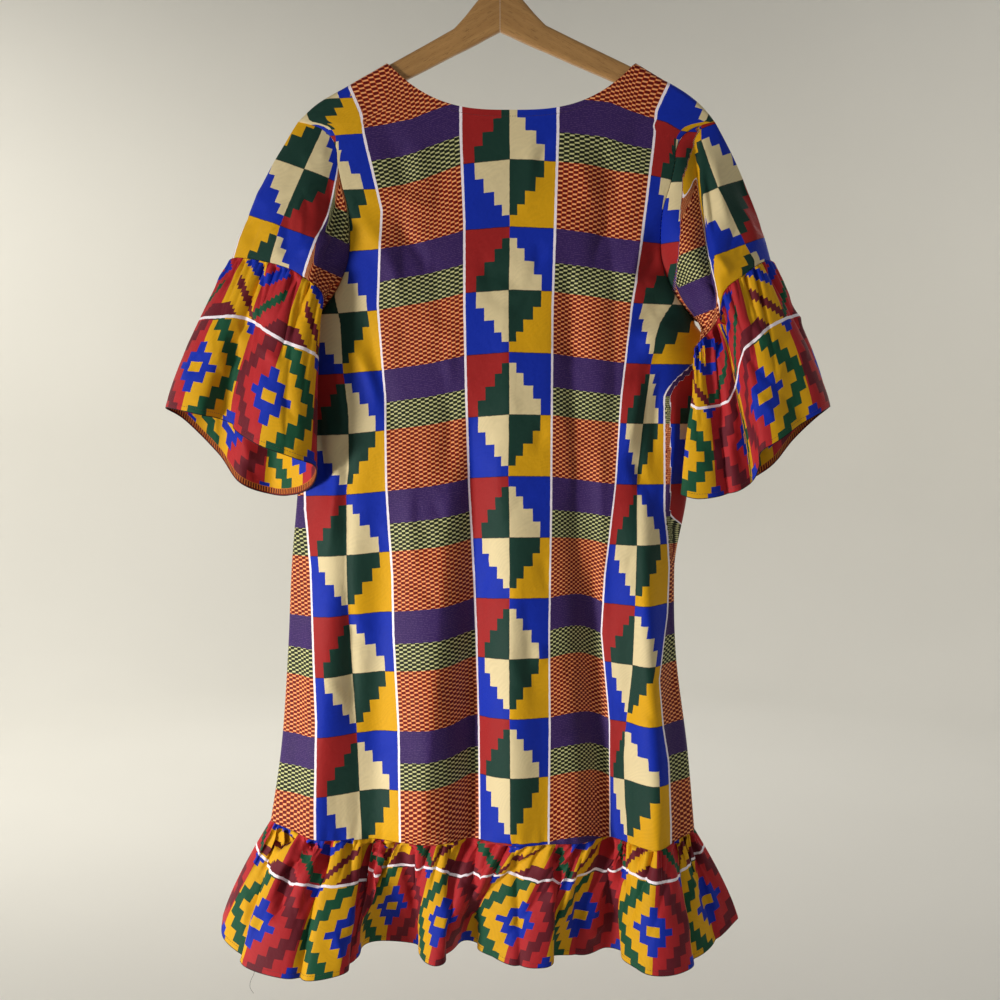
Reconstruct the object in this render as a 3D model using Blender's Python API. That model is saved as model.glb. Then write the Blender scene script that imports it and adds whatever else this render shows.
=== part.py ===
"""Short-sleeved shift dress in ankara wax print, on a wooden hanger.

The dress hangs from the hanger as an empty tube of cloth: a back panel (cut into six solids,
which one sheet of cloth replaces for looks) and a front panel, two set-in sleeves that each end in a gathered bell ruffle, and a gathered ruffle round the hem.

Frame: metres, +Z up. The origin is the inside top of the hook, where a rail carries it.
The back of the dress faces -Y, the front of the dress faces +Y, and +X is to the right
of someone who looks at the back. Each cloth piece is a thin wall round a middle surface,
and neighbours stop short of each other along the seam that they share.
"""

import math

import bpy
import bmesh
import numpy as np

MM = 0.001

# ---------------------------------------------------------------- driving dimensions
WALL = 1.3 * MM  # thickness of a cloth wall
SEAM = 0.2 * MM  # how far each wall stops short of a seam line
UNDERARM_SEAM = 0.7 * MM  # the same at the underarm, where the seam turns
CUFF_SEAM = 0.3 * MM  # the same where a sleeve meets its ruffle

DRESS_X = 14 * MM  # the dress hangs this far right of the hook
NECK_HALF = 153 * MM  # half the width of the neck opening
NECK_Z = -168 * MM  # height of the neck points
BACK_NECK_DROP = 58 * MM  # depth of the back neck below the neck points
FRONT_NECK_DROP = 112 * MM  # depth of the front neck
BACK_NECK_ROUND = 2.9  # how square the back neck curve is
FRONT_NECK_ROUND = 2.2
NECK_TURN = 3 * MM  # width over which the neck edge leaves the top of the hanger
REACH_LEFT = 264 * MM  # from the middle of the dress to the left shoulder end
REACH_RIGHT = 252 * MM
SHOULDER_Z = -238 * MM  # height of the shoulder ends
UNDERARM_Z = -480 * MM  # height of the underarm points
CHEST_ROUND = 2.3  # how square a body section is

# Shoulder seams, (distance from the middle of the dress, height) in mm. They lie on the
# hanger and drop past its tips.
SHOULDER_LEFT = (
    (NECK_HALF / MM, NECK_Z / MM),
    (168, -176.6),
    (184, -185.2),
    (209, -199.2),
    (221, -205.5),
    (243, -219),
    (REACH_LEFT / MM, SHOULDER_Z / MM),
)
SHOULDER_RIGHT = (
    (NECK_HALF / MM, NECK_Z / MM),
    (168, -176.6),
    (184, -185.8),
    (205, -197),
    (222, -208),
    (238, -221.5),
    (REACH_RIGHT / MM, SHOULDER_Z / MM),
)

# Heights of the body's rows, as shares of the armhole zone and of the zone below it.
ARMHOLE_ROWS = (0, 0.007, 0.025, 0.06, 0.13, 0.22, 0.33, 0.45, 0.58, 0.71, 0.83, 0.93, 1)
# Which way the cloth faces at those rows of an armhole, in degrees above level.
ARMHOLE_TILT = (90, 70, 40, 12, 0, 0, 0, 0, 0, 0, -14, -45, -90)
BODY_ROWS = 12
HALF_COLUMNS = 12
BACK_CUTS = (13, 19)  # rows where the back wall is cut across, so that its collision stays close
SIDE_CROWDING = 1.45  # how much closer together the columns are at the sides
EDGE_PULL = 2.2  # how closely only the outer columns follow the edge of the body
TURN_OVER = 7 * MM  # height over which the cloth turns over the top of the hanger
HEM_SPLIT = 4  # ruffle columns for each column of the body, one gather wide
CUFF_SPLIT = 3  # the same for each column of a sleeve
SLEEVE_ROWS = 7
CUFF_EVENING = 0.65

# Gather seam at the hem, (share of the half width from the centre, height) in mm.
HEM_SEAM = (
    (-1.00, -1128),
    (-0.80, -1142),
    (-0.55, -1146),
    (-0.25, -1146),
    (0.00, -1146),
    (0.45, -1148),
    (0.80, -1150),
    (1.00, -1140),
)

# Armhole edge of a panel, (share of the way down, distance in from the shoulder end) in mm.
ARMHOLE = (
    (0.00, 0),
    (0.025, 22),
    (0.06, 36),
    (0.13, 47),
    (0.22, 50),
    (0.33, 56),
    (0.45, 64),
    (0.58, 66),
    (0.71, 63),
    (0.85, 48),
    (1.00, 18),
)

# Side seams, (height, left x, right x) in mm, below the underarm.
SIDE_SEAMS = (
    (-480, -236, 247),
    (-540, -246, 245),
    (-610, -253, 238),
    (-660, -257, 232),
    (-708, -261, 228),
    (-786, -268, 225),
    (-900, -274, 227),
    (-1035, -285, 244),
    (-1150, -303, 255),
)

# Body section by height, in mm: how far the back and the front stand out, how far the
# armhole gapes, and how far the side seam lies behind the hanger's plane.
SECTION = (
    # height, back, front, gape, side_y
    (-170, 10, 10, 0, 0),
    (-240, 11, 11, 2, 0),
    (-300, 14, 14, 12, 1),
    (-380, 19, 18, 15, 5),
    (-440, 24, 22, 10, 12),
    (-480, 26, 24, 0, 17),
    (-600, 28, 26, 0, 18),
    (-708, 31, 28, 0, 14),
    (-900, 34, 31, 0, 6),
    (-1150, 36, 34, 0, 0),
)

# Lengthwise folds, in mm: where they run, where they start, where they reach full depth,
# their half width there, and how far they stand out (a negative depth is a trough).
BACK_FOLDS = (
    # x_top, x_low, start, full, half_width, depth
    (-190, -232, -560, -1000, 30, 20),
    (-140, -156, -520, -950, 24, -11),
    (-95, -92, -640, -1050, 28, 7),
    (-30, -36, -560, -1060, 21, -20),
    (25, 24, -480, -1000, 28, 10),
    (118, 136, -520, -960, 25, -27),
    (165, 193, -560, -960, 23, 24),
    (-215, -252, -620, -760, 14, -6),
)
FRONT_FOLDS = (
    (-150, -190, -560, -1000, 28, 14),
    (-85, -110, -600, -1000, 26, -14),
    (-20, -30, -560, -1000, 30, 13),
    (60, 55, -600, -1050, 26, -15),
    (125, 135, -560, -1000, 28, 14),
)

# Drag marks that run out of the armholes, in mm: middle, half length, half width,
# direction in degrees from level, and depth.
BACK_DRAGS = (
    # x, z, half_length, half_width, turn, depth
    (-150, -390, 60, 12, -52, 5),
    (-118, -300, 70, 14, -64, -3),
    (165, -400, 60, 12, 55, 5),
    (212, -505, 38, 17, 30, 15),
    (150, -300, 70, 14, 66, -3),
)
FRONT_DRAGS = (
    (-140, -400, 60, 14, -52, 4),
    (150, -400, 60, 14, 52, 4),
)

# Sleeve ends, in mm, once round from the outer edge over the back of the arm.
CUFF_LEFT = (
    # x, y, z
    (-335, 0, -405),
    (-304, -26, -409),
    (-268, -38, -418),
    (-243, -43, -430),
    (-217, -35, -456),
    (-246, -8, -502),
    (-272, 14, -488),
    (-303, 23, -454),
    (-327, 15, -420),
)
CUFF_RIGHT = (
    (339, 0, -408),
    (320, -25, -414),
    (297, -36, -430),
    (275, -38, -448),
    (268, -26, -484),
    (241, -24, -518),
    (268, 8, -516),
    (304, 22, -464),
    (329, 15, -423),
)

# How far the middle of a sleeve stands out from the straight lines between its two ends,
# in mm, by share of the way round from the outer edge over the back of the arm. A ridge and
# then a trough run down the back beside the armhole.
SLEEVE_SWELL = (
    # share, out, back
    (0.00, 7, 0),
    (0.11, 4, 7),
    (0.22, 0, 10),
    (0.31, -3, 15),
    (0.39, 3, -8),
    (0.46, 9, 3),
    (0.54, 22, 0),
    (0.64, 12, -5),
    (0.78, 3, -8),
    (0.89, 5, -4),
    (1.00, 7, 0),
)

# Lower edges of the sleeve ruffles, in mm, once round as above.
BELL_LEFT = (
    # x, y, z
    (-423, 0, -592),
    (-398, -34, -594),
    (-368, -42, -600),
    (-348, -20, -606),
    (-328, -42, -618),
    (-292, -68, -636),
    (-250, -66, -652),
    (-228, -42, -664),
    (-236, -18, -688),
    (-262, 4, -702),
    (-296, 30, -704),
    (-334, 14, -688),
    (-366, 36, -652),
    (-406, 26, -608),
)
BELL_RIGHT = (
    (418, 0, -590),
    (398, -36, -596),
    (368, -48, -612),
    (340, -62, -630),
    (318, -60, -645),
    (322, -34, -664),
    (316, -22, -684),
    (288, -34, -698),
    (248, -38, -704),
    (227, -27, -699),
    (262, 8, -703),
    (304, 28, -694),
    (346, 14, -668),
    (380, 34, -634),
    (406, 26, -606),
)

# Lower edges of the hem ruffles, in mm, from the left side seam to the right one.
HEM_BACK = (
    # x, y, z
    (-368, 12, -1266),
    (-360, -28, -1279),
    (-323, -68, -1293),
    (-255, -84, -1303),
    (-208, -79, -1301),
    (-180, -56, -1297),
    (-170, -18, -1290),
    (-145, -6, -1290),
    (-115, -18, -1291),
    (-95, -50, -1297),
    (-76, -56, -1298),
    (-59, -35, -1294),
    (-44, -11, -1291),
    (-22, -28, -1295),
    (17, -55, -1299),
    (58, -57, -1300),
    (80, -34, -1299),
    (112, -20, -1302),
    (142, -9, -1301),
    (164, -42, -1302),
    (188, -68, -1304),
    (222, -67, -1304),
    (254, -44, -1301),
    (282, -14, -1288),
    (316, 12, -1268),
)
HEM_FRONT = (
    (-368, 12, -1266),
    (-336, 44, -1284),
    (-292, 52, -1292),
    (-248, 24, -1290),
    (-206, 20, -1291),
    (-166, 52, -1297),
    (-122, 58, -1298),
    (-80, 28, -1294),
    (-36, 24, -1294),
    (8, 54, -1299),
    (52, 58, -1300),
    (92, 26, -1297),
    (134, 24, -1298),
    (172, 52, -1302),
    (214, 54, -1302),
    (252, 34, -1296),
    (284, 30, -1286),
    (316, 12, -1268),
)
RUFFLE_ROWS = (0, 0.08, 0.24, 0.55, 1)
GATHER_DEPTH = 3.2 * MM  # how far a gather stands out at its seam
GATHER_FADE = 2.4  # how fast gathers die out down a ruffle

# Hanger: two arms of one shape, and a wire hook.
ARM_JOIN = 0.15 * MM  # half the glue line between the arms
LEAN = math.radians(2)  # the hanger hangs this much lower on the left
# Arm section by distance from the middle, in mm.
ARM = (
    # x, top, bottom, half_thickness
    (0, -79, -130, 6.5),
    (13, -81, -136, 6.5),
    (27, -92, -143, 6.5),
    (42, -110, -150, 6.3),
    (56, -124.5, -156, 6.0),
    (90, -142, -172, 5.8),
    (130, -162, -190, 5.8),
    (170, -182, -209, 5.8),
    (195, -195, -219, 5.6),
    (204, -201, -217, 4.6),
    (207, -205, -213, 3.0),
)
ARM_SIDES = 16
ARM_SQUARE = 4.5
WIRE = 1.9 * MM  # radius of the hook's wire
# Middle line of the hook, in mm, from the collar up and round.
HOOK = (
    # x, z
    (0, -78),
    (0, -67),
    (0, -57),
    (3.5, -49.5),
    (11.5, -43),
    (18.5, -35),
    (21.7, -24.5),
    (20.6, -13),
    (14.8, -3.8),
    (5.2, 1.2),
    (-5.2, 1.2),
    (-14.8, -3.8),
    (-20.6, -13),
    (-21.7, -24.5),
    (-19.5, -31),
)
WIRE_SIDES = 10
COLLAR_R = 5.5 * MM
COLLAR_H = 2.5 * MM
COLLAR_CONE = 0.6 * MM  # height of the slope from the collar to the wire
COLLAR_LIFT = 0.4 * MM  # gap between the collar and the wood


# ---------------------------------------------------------------- curves and tables
def ease(x):
    x = np.clip(x, 0, 1)
    return x * x * (3 - 2 * x)


def table_curve(rows, column, at):
    """Smooth value of one column of a table at the keys of its first column."""
    rows = sorted(rows)
    keys = np.array([row[0] for row in rows], float)
    values = np.array([row[column] for row in rows], float)
    slopes = np.gradient(values, keys)
    at = np.clip(np.asarray(at, float), keys[0], keys[-1])
    i = np.clip(np.searchsorted(keys, at) - 1, 0, len(keys) - 2)
    span = keys[i + 1] - keys[i]
    t = (at - keys[i]) / span
    return (
        (1 + 2 * t) * (1 - t) ** 2 * values[i]
        + t * (1 - t) ** 2 * span * slopes[i]
        + t * t * (3 - 2 * t) * values[i + 1]
        + t * t * (t - 1) * span * slopes[i + 1]
    )


def smooth_line(points, closed, fine=24):
    """Catmull-Rom curve through points, finely divided."""
    points = np.asarray(points, float)
    n = len(points)
    spans = n if closed else n - 1
    out = []
    for k in range(spans):
        if closed:
            a, b, c, d = (points[(k + m) % n] for m in (-1, 0, 1, 2))
        else:
            b, c = points[k], points[k + 1]
            a = points[k - 1] if k else 2 * b - c
            d = points[k + 2] if k + 2 < n else 2 * c - b
        for t in np.arange(fine) / fine:
            out.append(
                0.5
                * (
                    2 * b
                    + (c - a) * t
                    + (2 * a - 5 * b + 4 * c - d) * t**2
                    + (3 * b - a - 3 * c + d) * t**3
                )
            )
    out.append(points[0] if closed else points[-1])
    return np.array(out)


def along(line, shares):
    """Points at shares of the length of a finely divided line."""
    run = np.r_[0, np.cumsum(np.linalg.norm(np.diff(line, axis=0), axis=1))]
    at = np.asarray(shares) * run[-1]
    return np.stack([np.interp(at, run, line[:, k]) for k in range(3)], axis=1)


def shares_of(line):
    """Share of its length at each point of a line."""
    run = np.r_[0, np.cumsum(np.linalg.norm(np.diff(line, axis=0), axis=1))]
    return run / run[-1]


def unit(v):
    return v / np.maximum(np.linalg.norm(v, axis=-1, keepdims=True), 1e-12)


# ---------------------------------------------------------------- solids
def material(name, colour, roughness, metallic=0.0):
    mat = bpy.data.materials.new(name)
    mat.use_nodes = True
    shader = mat.node_tree.nodes["Principled BSDF"]
    shader.inputs["Base Color"].default_value = (*colour, 1)
    shader.inputs["Roughness"].default_value = roughness
    shader.inputs["Metallic"].default_value = metallic
    return mat


def add_object(name, verts, faces, mat, sharp=60):
    mesh = bpy.data.meshes.new(name)
    mesh.from_pydata([tuple(v) for v in verts], [], faces)
    bm = bmesh.new()
    bm.from_mesh(mesh)
    bmesh.ops.recalc_face_normals(bm, faces=bm.faces)
    if bm.calc_volume(signed=True) < 0:
        bmesh.ops.reverse_faces(bm, faces=bm.faces)
    bm.to_mesh(mesh)
    bm.free()
    mesh.materials.append(mat)
    mesh.shade_smooth()
    mesh.set_sharp_from_angle(angle=math.radians(sharp))
    obj = bpy.data.objects.new(name, mesh)
    bpy.context.scene.collection.objects.link(obj)
    return obj


def grid_normals(grid, closed):
    """Unit normals of a grid of points, rows first. A closed grid wraps round its columns."""
    if closed:
        across = np.roll(grid, -1, axis=1) - np.roll(grid, 1, axis=1)
    else:
        across = np.gradient(grid, axis=1)
    down = np.gradient(grid, axis=0)
    return unit(np.cross(across, down))


def wall_normals(grid, closed, pinned):
    """Normals of a grid. Each pinned entry is (rows, columns, normals) along a seam."""
    normals = grid_normals(grid, closed)
    for rows, columns, given in pinned:
        normals[rows, columns] = given
    return normals


def wall(name, grid, mat, closed=False, pinned=()):
    return wall_round(name, grid, wall_normals(grid, closed, pinned), mat, closed)


def wall_round(name, grid, normals, mat, closed=False):
    """A wall round a grid of points with given normals."""
    rows, cols = grid.shape[:2]
    half = WALL / 2
    verts = np.concatenate([grid + normals * half, grid - normals * half]).reshape(-1, 3)
    inner = rows * cols
    faces = []
    for i in range(rows - 1):
        for j in range(cols if closed else cols - 1):
            k = (j + 1) % cols
            a, b, c, d = i * cols + j, i * cols + k, (i + 1) * cols + k, (i + 1) * cols + j
            faces.append((a, b, c, d))
            faces.append((inner + d, inner + c, inner + b, inner + a))
    rims = [[i * cols + j for j in range(cols)] for i in (0, rows - 1)]
    if not closed:
        rims += [[i * cols + j for i in range(rows)] for j in (0, cols - 1)]
    for rim in rims:
        for a, b in zip(rim, rim[1:] + rim[:1] if closed else rim[1:]):
            faces.append((a, b, inner + b, inner + a))
    return add_object(name, verts, faces, mat)


# ---------------------------------------------------------------- body panels
def neck_and_shoulder_z(x, drop, squareness):
    """Height of a panel's top edge at a distance x from the middle of the dress."""
    d = np.abs(x)
    neck = NECK_Z - drop * (1 - np.clip(d / NECK_HALF, 0, 1) ** squareness)
    left, right = (table_curve(rows, 1, d / MM) * MM for rows in (SHOULDER_LEFT, SHOULDER_RIGHT))
    return np.where(d < NECK_HALF - 1e-9, neck, np.where(x < 0, left, right))


def column_shares():
    """Column places from side to side, closer together at the sides and at the neck points,
    and the reach of the shoulder on each column's side."""
    a = np.arange(HALF_COLUMNS) / (HALF_COLUMNS - 1)
    halves = []
    for reach in (REACH_LEFT, REACH_RIGHT):
        half = 1 - (1 - a) ** SIDE_CROWDING
        neck = NECK_HALF / reach
        half[np.argmin(np.abs(half - neck))] = neck
        halves.append(np.sort(np.r_[half, neck - NECK_TURN / reach]))
    left, right = halves
    shares = np.r_[-left[:0:-1], right]
    return shares, np.where(shares < 0, REACH_LEFT, REACH_RIGHT)


def edge_x(side, z):
    """Where the edge of the body lies, left (-1) or right (+1), at a height below the shoulder end."""
    share = (z - SHOULDER_Z) / (UNDERARM_Z - SHOULDER_Z)
    low = table_curve(SIDE_SEAMS, 1 if side < 0 else 2, z / MM) * MM
    reach = REACH_LEFT if side < 0 else REACH_RIGHT
    under = DRESS_X + side * (reach - ARMHOLE[-1][1] * MM)
    inset = table_curve(ARMHOLE, 1, share) * MM
    start = SIDE_SEAMS[0][1 if side < 0 else 2] * MM
    high = DRESS_X + side * (reach - inset) + (start - under) * ease(share)
    return np.where(share < 1, high, low)


def ridge(x, z, rows):
    """Depth of the lengthwise folds of a panel at x, z."""
    out = np.zeros_like(x)
    for x_top, x_low, start, full, half_width, depth in rows:
        grown = ease((start * MM - z) / ((start - full) * MM))
        middle = (x_top + (x_low - x_top) * np.clip((start * MM - z) / ((start - full) * MM), 0, 1.3)) * MM
        out += depth * MM * grown * np.exp(-(((x - middle) / (half_width * MM)) ** 2))
    return out


def drag(x, z, rows):
    """Depth of the slanting drag marks of a panel at x, z."""
    out = np.zeros_like(x)
    for x0, z0, half_length, half_width, turn, depth in rows:
        c, s = math.cos(math.radians(turn)), math.sin(math.radians(turn))
        run = ((x - x0 * MM) * c + (z - z0 * MM) * s) / (half_length * MM)
        off = ((z - z0 * MM) * c - (x - x0 * MM) * s) / (half_width * MM)
        out += depth * MM * np.exp(-(run**2) - off**2)
    return out


def panel_grid(facing, neck, folds, drags):
    """Middle surface of a body panel, rows from the top down. facing is -1 for the back."""
    shares, reach = column_shares()
    top_x = shares * reach
    top_z = neck_and_shoulder_z(top_x, *neck)
    low_z = table_curve(HEM_SEAM, 1, shares) * MM
    rows = [top_z + (UNDERARM_Z - top_z) * g for g in ARMHOLE_ROWS]
    rows += [UNDERARM_Z + (low_z - UNDERARM_Z) * g for g in np.arange(1, BODY_ROWS + 1) / BODY_ROWS]
    z = np.array(rows)
    s = np.broadcast_to(shares, z.shape)
    edge_left, edge_right = edge_x(-1, z) - DRESS_X, edge_x(1, z) - DRESS_X
    edge = np.where(s < 0, -edge_left, edge_right)
    x = DRESS_X + s * reach + (edge - reach) * np.abs(s) ** EDGE_PULL * np.sign(s)

    stand, gape, side_y = (table_curve(SECTION, k, z / MM) * MM for k in (2 if facing > 0 else 1, 3, 4))
    gape = np.where(z > UNDERARM_Z + 1e-6, np.maximum(gape, 0), 0)
    round_off = (1 - np.abs(s) ** CHEST_ROUND) ** (1 / CHEST_ROUND)
    y = facing * (gape + (stand - gape) * round_off) + side_y * np.abs(s) ** 3
    fade = 1 - np.abs(s) ** 8
    y += facing * fade * (ridge(x, z, folds) + drag(x, z, drags))

    # The cloth turns over the top of the hanger at the shoulders, and lies open at the neck.
    below = np.clip((top_z - z) / TURN_OVER, 0, 1)
    turn = np.sqrt(1 - (1 - below) ** 2)
    on_shoulder = ease((np.abs(top_x) - NECK_HALF + NECK_TURN) / NECK_TURN)
    y *= 1 - on_shoulder * (1 - turn)
    return np.stack([x, y, z], axis=-1)


def finish_panel(grid, facing):
    """Stops the panel short of its seams and gives the seams' shared normals."""
    shares, reach = column_shares()
    under = len(ARMHOLE_ROWS) - 1
    shoulder = np.where(np.abs(shares * reach) >= NECK_HALF - 1e-9)[0]
    normals = grid_normals(grid, False)
    pinned = []

    top = np.gradient(grid[0], axis=0)
    up = unit(np.stack([-top[:, 2], np.zeros(len(top)), top[:, 0]], axis=1))
    grid = grid.copy()
    for side, column in ((-1, 0), (1, -1)):
        edge = grid[:, column].copy()
        down = np.gradient(edge, axis=0)
        seam_normals = armhole_normals(facing)
        across = unit(np.cross(down[: under + 1], seam_normals))
        across *= np.sign(side * across[:, 0])[:, None]
        grid[: under + 1, column] -= across * armhole_gap()[:, None]
        grid[under + 1 :, column, 1] += facing * SEAM
        grid[under, column, 1] += facing * SEAM
        grid[0, column, 1] += facing * SEAM
        pinned.append((slice(0, under + 1), column, seam_normals * facing))
        pinned.append((slice(under + 1, None), column, side_normals(down[under + 1 :], side) * facing))
    inner = shoulder[(shoulder > 0) & (shoulder < len(shares) - 1)]
    grid[0, inner, 1] += facing * SEAM
    pinned.append((0, inner, up[inner] * facing))
    bottom = normals[-1, 1:-1] * (1, 1, 0)
    grid[-1, :, 2] += SEAM
    pinned.append((-1, slice(1, -1), unit(bottom)))
    return grid, pinned


def side_normals(down, side):
    """Normals that point sideways, square to a side seam that runs down."""
    return unit(np.stack([-side * down[:, 2], 0 * down[:, 1], side * down[:, 0]], axis=1))


def armhole_normals(facing):
    """Outward normals of the cloth along one half of an armhole, shoulder end first."""
    tilt = np.radians(ARMHOLE_TILT)
    return np.stack([0 * tilt, facing * np.cos(tilt), np.sin(tilt)], axis=1)


def armhole_gap():
    """Distance from the armhole's seam line to the wall at each row of an armhole."""
    return np.interp(ARMHOLE_ROWS, (0, 0.58, 0.8, 1), (SEAM, SEAM, UNDERARM_SEAM, UNDERARM_SEAM))


def body_panels(mat):
    back = panel_grid(-1, (BACK_NECK_DROP, BACK_NECK_ROUND), BACK_FOLDS, BACK_DRAGS)
    front = panel_grid(1, (FRONT_NECK_DROP, FRONT_NECK_ROUND), FRONT_FOLDS, FRONT_DRAGS)
    cut, pinned = finish_panel(front, 1)
    wall("front_panel", cut, mat, pinned=pinned)
    cut, pinned = finish_panel(back, -1)
    normals = wall_normals(cut, False, pinned)
    for height, band in zip(("upper", "middle", "lower"), cut_apart(cut, normals, BACK_CUTS, 0)):
        for side, (points, facings) in zip(("left", "right"), cut_apart(*band, (HALF_COLUMNS,), 1)):
            wall_round(f"back_panel_{height}_{side}", points, facings, mat)
    return back, front


def cut_apart(grid, normals, cuts, axis):
    """Parts of a wall between cuts along one axis. Each part stops short of its cuts."""
    grid, normals = np.moveaxis(grid, axis, 0), np.moveaxis(normals, axis, 0)
    ends = (0, *cuts, len(grid) - 1)
    for first, last in zip(ends[:-1], ends[1:]):
        part = grid[first : last + 1].copy()
        if first:
            part[0] += unit(part[1] - part[0]) * SEAM
        if last < len(grid) - 1:
            part[-1] += unit(part[-2] - part[-1]) * SEAM
        yield np.moveaxis(part, 0, axis), np.moveaxis(normals[first : last + 1], 0, axis)


# ---------------------------------------------------------------- sleeves
def sleeve(name, side, back, front, cuff, mat):
    """A sleeve from its armhole to its cuff. Gives the cuff's ring and the ring's outward normals."""
    under = len(ARMHOLE_ROWS) - 1
    column = 0 if side < 0 else -1
    armhole = np.concatenate([back[: under + 1, column], front[under - 1 : 0 : -1, column]])
    around = len(armhole)
    normals = np.concatenate([armhole_normals(-1), armhole_normals(1)[under - 1 : 0 : -1]])

    shares = shares_of(np.concatenate([armhole, armhole[:1]]))[:-1]
    # Places round the cuff lie between the armhole's own and even ones.
    even = np.arange(around) / around
    places = shares + (even - shares) * CUFF_EVENING
    end = along(smooth_line(np.array(cuff) * MM, True), places)
    out, to_back = (table_curve(SLEEVE_SWELL, k, places) * MM for k in (1, 2))

    steps = np.linspace(0, 1, SLEEVE_ROWS + 1)
    rings = []
    for t in steps:
        bulge = 4 * t * (1 - t)
        ring = armhole * (1 - t) + end * t
        ring[:, 0] += side * out * bulge
        ring[:, 1] -= to_back * bulge
        rings.append(ring)
    grid = np.array(rings)

    tangent = np.roll(armhole, -1, axis=0) - np.roll(armhole, 1, axis=0)
    across = unit(np.cross(tangent, normals))
    across *= np.sign(side * across[:, 0])[:, None]
    gap = armhole_gap()
    grid[0] += across * np.concatenate([gap, gap[under - 1 : 0 : -1]])[:, None]

    cuff_normals, cuff_across = ring_frame(end, grid[-1] - grid[-2])
    grid[-1] -= cuff_across * CUFF_SEAM
    turn = outward(grid)
    pinned = ((0, slice(None), normals * turn), (-1, slice(None), cuff_normals * turn))
    wall(name, grid, mat, closed=True, pinned=pinned)
    return end, cuff_normals, cuff_across


def ring_frame(ring, leading):
    """Outward normals of a ring, and the direction that crosses its seam."""
    tangent = unit(np.roll(ring, -1, axis=0) - np.roll(ring, 1, axis=0))
    mean = unit(leading.mean(axis=0))
    normals = unit(np.cross(tangent, mean))
    middle = ring.mean(axis=0)
    if ((ring - middle) * normals).sum() < 0:
        normals = -normals
    across = unit(np.cross(normals, tangent))
    across *= np.sign(across @ mean)[:, None]
    return normals, across


def outward(grid):
    """+1 where the normals of a closed grid point out of the tube, -1 where they point in."""
    normals = grid_normals(grid, True)
    middle = grid.mean(axis=1, keepdims=True)
    return 1.0 if ((grid - middle) * normals).sum() > 0 else -1.0


# ---------------------------------------------------------------- ruffles
def split(points, times, closed):
    """Each span of a line cut into equal parts."""
    ends = np.roll(points, -1, axis=0) if closed else points[1:]
    starts = points if closed else points[:-1]
    parts = [starts + (ends - starts) * k / times for k in range(times)]
    out = np.stack(parts, axis=1).reshape(-1, points.shape[1])
    return out if closed else np.concatenate([out, points[-1:]])


def gather_wave(count, split_by):
    """Crests and troughs of the gathers, one every few columns, uneven in depth."""
    k = np.arange(count)
    wave = np.cos(2 * math.pi * k / split_by)
    uneven = 1 + 0.28 * np.sin(k * 0.61 + 0.7) + 0.2 * np.sin(k * 0.23 + 2.1)
    return wave * uneven


def ruffle_grid(seam, normals, hem, split_by, closed):
    """Middle surface of a gathered ruffle that hangs from a seam line to its hem."""
    rows = []
    wave = gather_wave(len(seam), split_by) * GATHER_DEPTH
    if not closed:
        ends = np.minimum(np.arange(len(seam)), np.arange(len(seam))[::-1])
        wave = wave * ease(ends / split_by)
    for t in RUFFLE_ROWS:
        spread = 1 - (1 - t) ** 1.25
        ring = seam + (hem - seam) * spread
        ring[:, 2] = seam[:, 2] + (hem[:, 2] - seam[:, 2]) * t
        rows.append(ring + normals * (wave * (1 - t) ** GATHER_FADE)[:, None])
    return np.array(rows)


def sleeve_ruffle(name, ring, normals, across, bell, mat):
    seam = split(ring, CUFF_SPLIT, True)
    seam_normals = unit(split(normals, CUFF_SPLIT, True))
    seam_across = unit(split(across, CUFF_SPLIT, True))
    shares = np.arange(len(seam)) / len(seam)
    hem = along(smooth_line(np.array(bell) * MM, True), shares)
    grid = ruffle_grid(seam, seam_normals, hem, CUFF_SPLIT, True)
    grid[0] += seam_across * CUFF_SEAM
    turn = outward(grid)
    wall(name, grid, mat, closed=True, pinned=((0, slice(None), seam_normals * turn),))


def hem_ruffle(name, panel, facing, hem_line, mat):
    line = panel[-1].copy()
    tangent = np.gradient(line, axis=0)
    normals = unit(np.stack([-tangent[:, 1], tangent[:, 0], 0 * tangent[:, 0]], axis=1))
    normals *= np.sign(normals[len(line) // 2, 1]) * facing
    for column, side in ((0, -1.0), (-1, 1.0)):
        normals[column] = (side, 0, 0)
    seam = split(line, HEM_SPLIT, False)
    seam_normals = unit(split(normals, HEM_SPLIT, False))
    hem = along(smooth_line(np.array(hem_line) * MM, False), np.linspace(0, 1, len(seam)))
    grid = ruffle_grid(seam, seam_normals, hem, HEM_SPLIT, False)
    grid[0, :, 2] -= SEAM
    grid[:, 0, 1] += facing * SEAM
    grid[:, -1, 1] += facing * SEAM
    turn = np.sign((grid_normals(grid, False)[0] * seam_normals).sum())
    pinned = [(0, slice(1, -1), seam_normals[1:-1] * turn)]
    for column, side in ((0, -1.0), (-1, 1.0)):
        down = np.gradient(grid[:, column], axis=0)
        pinned.append((slice(None), column, side_normals(down, side) * turn))
    wall(name, grid, mat, pinned=pinned)


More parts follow.
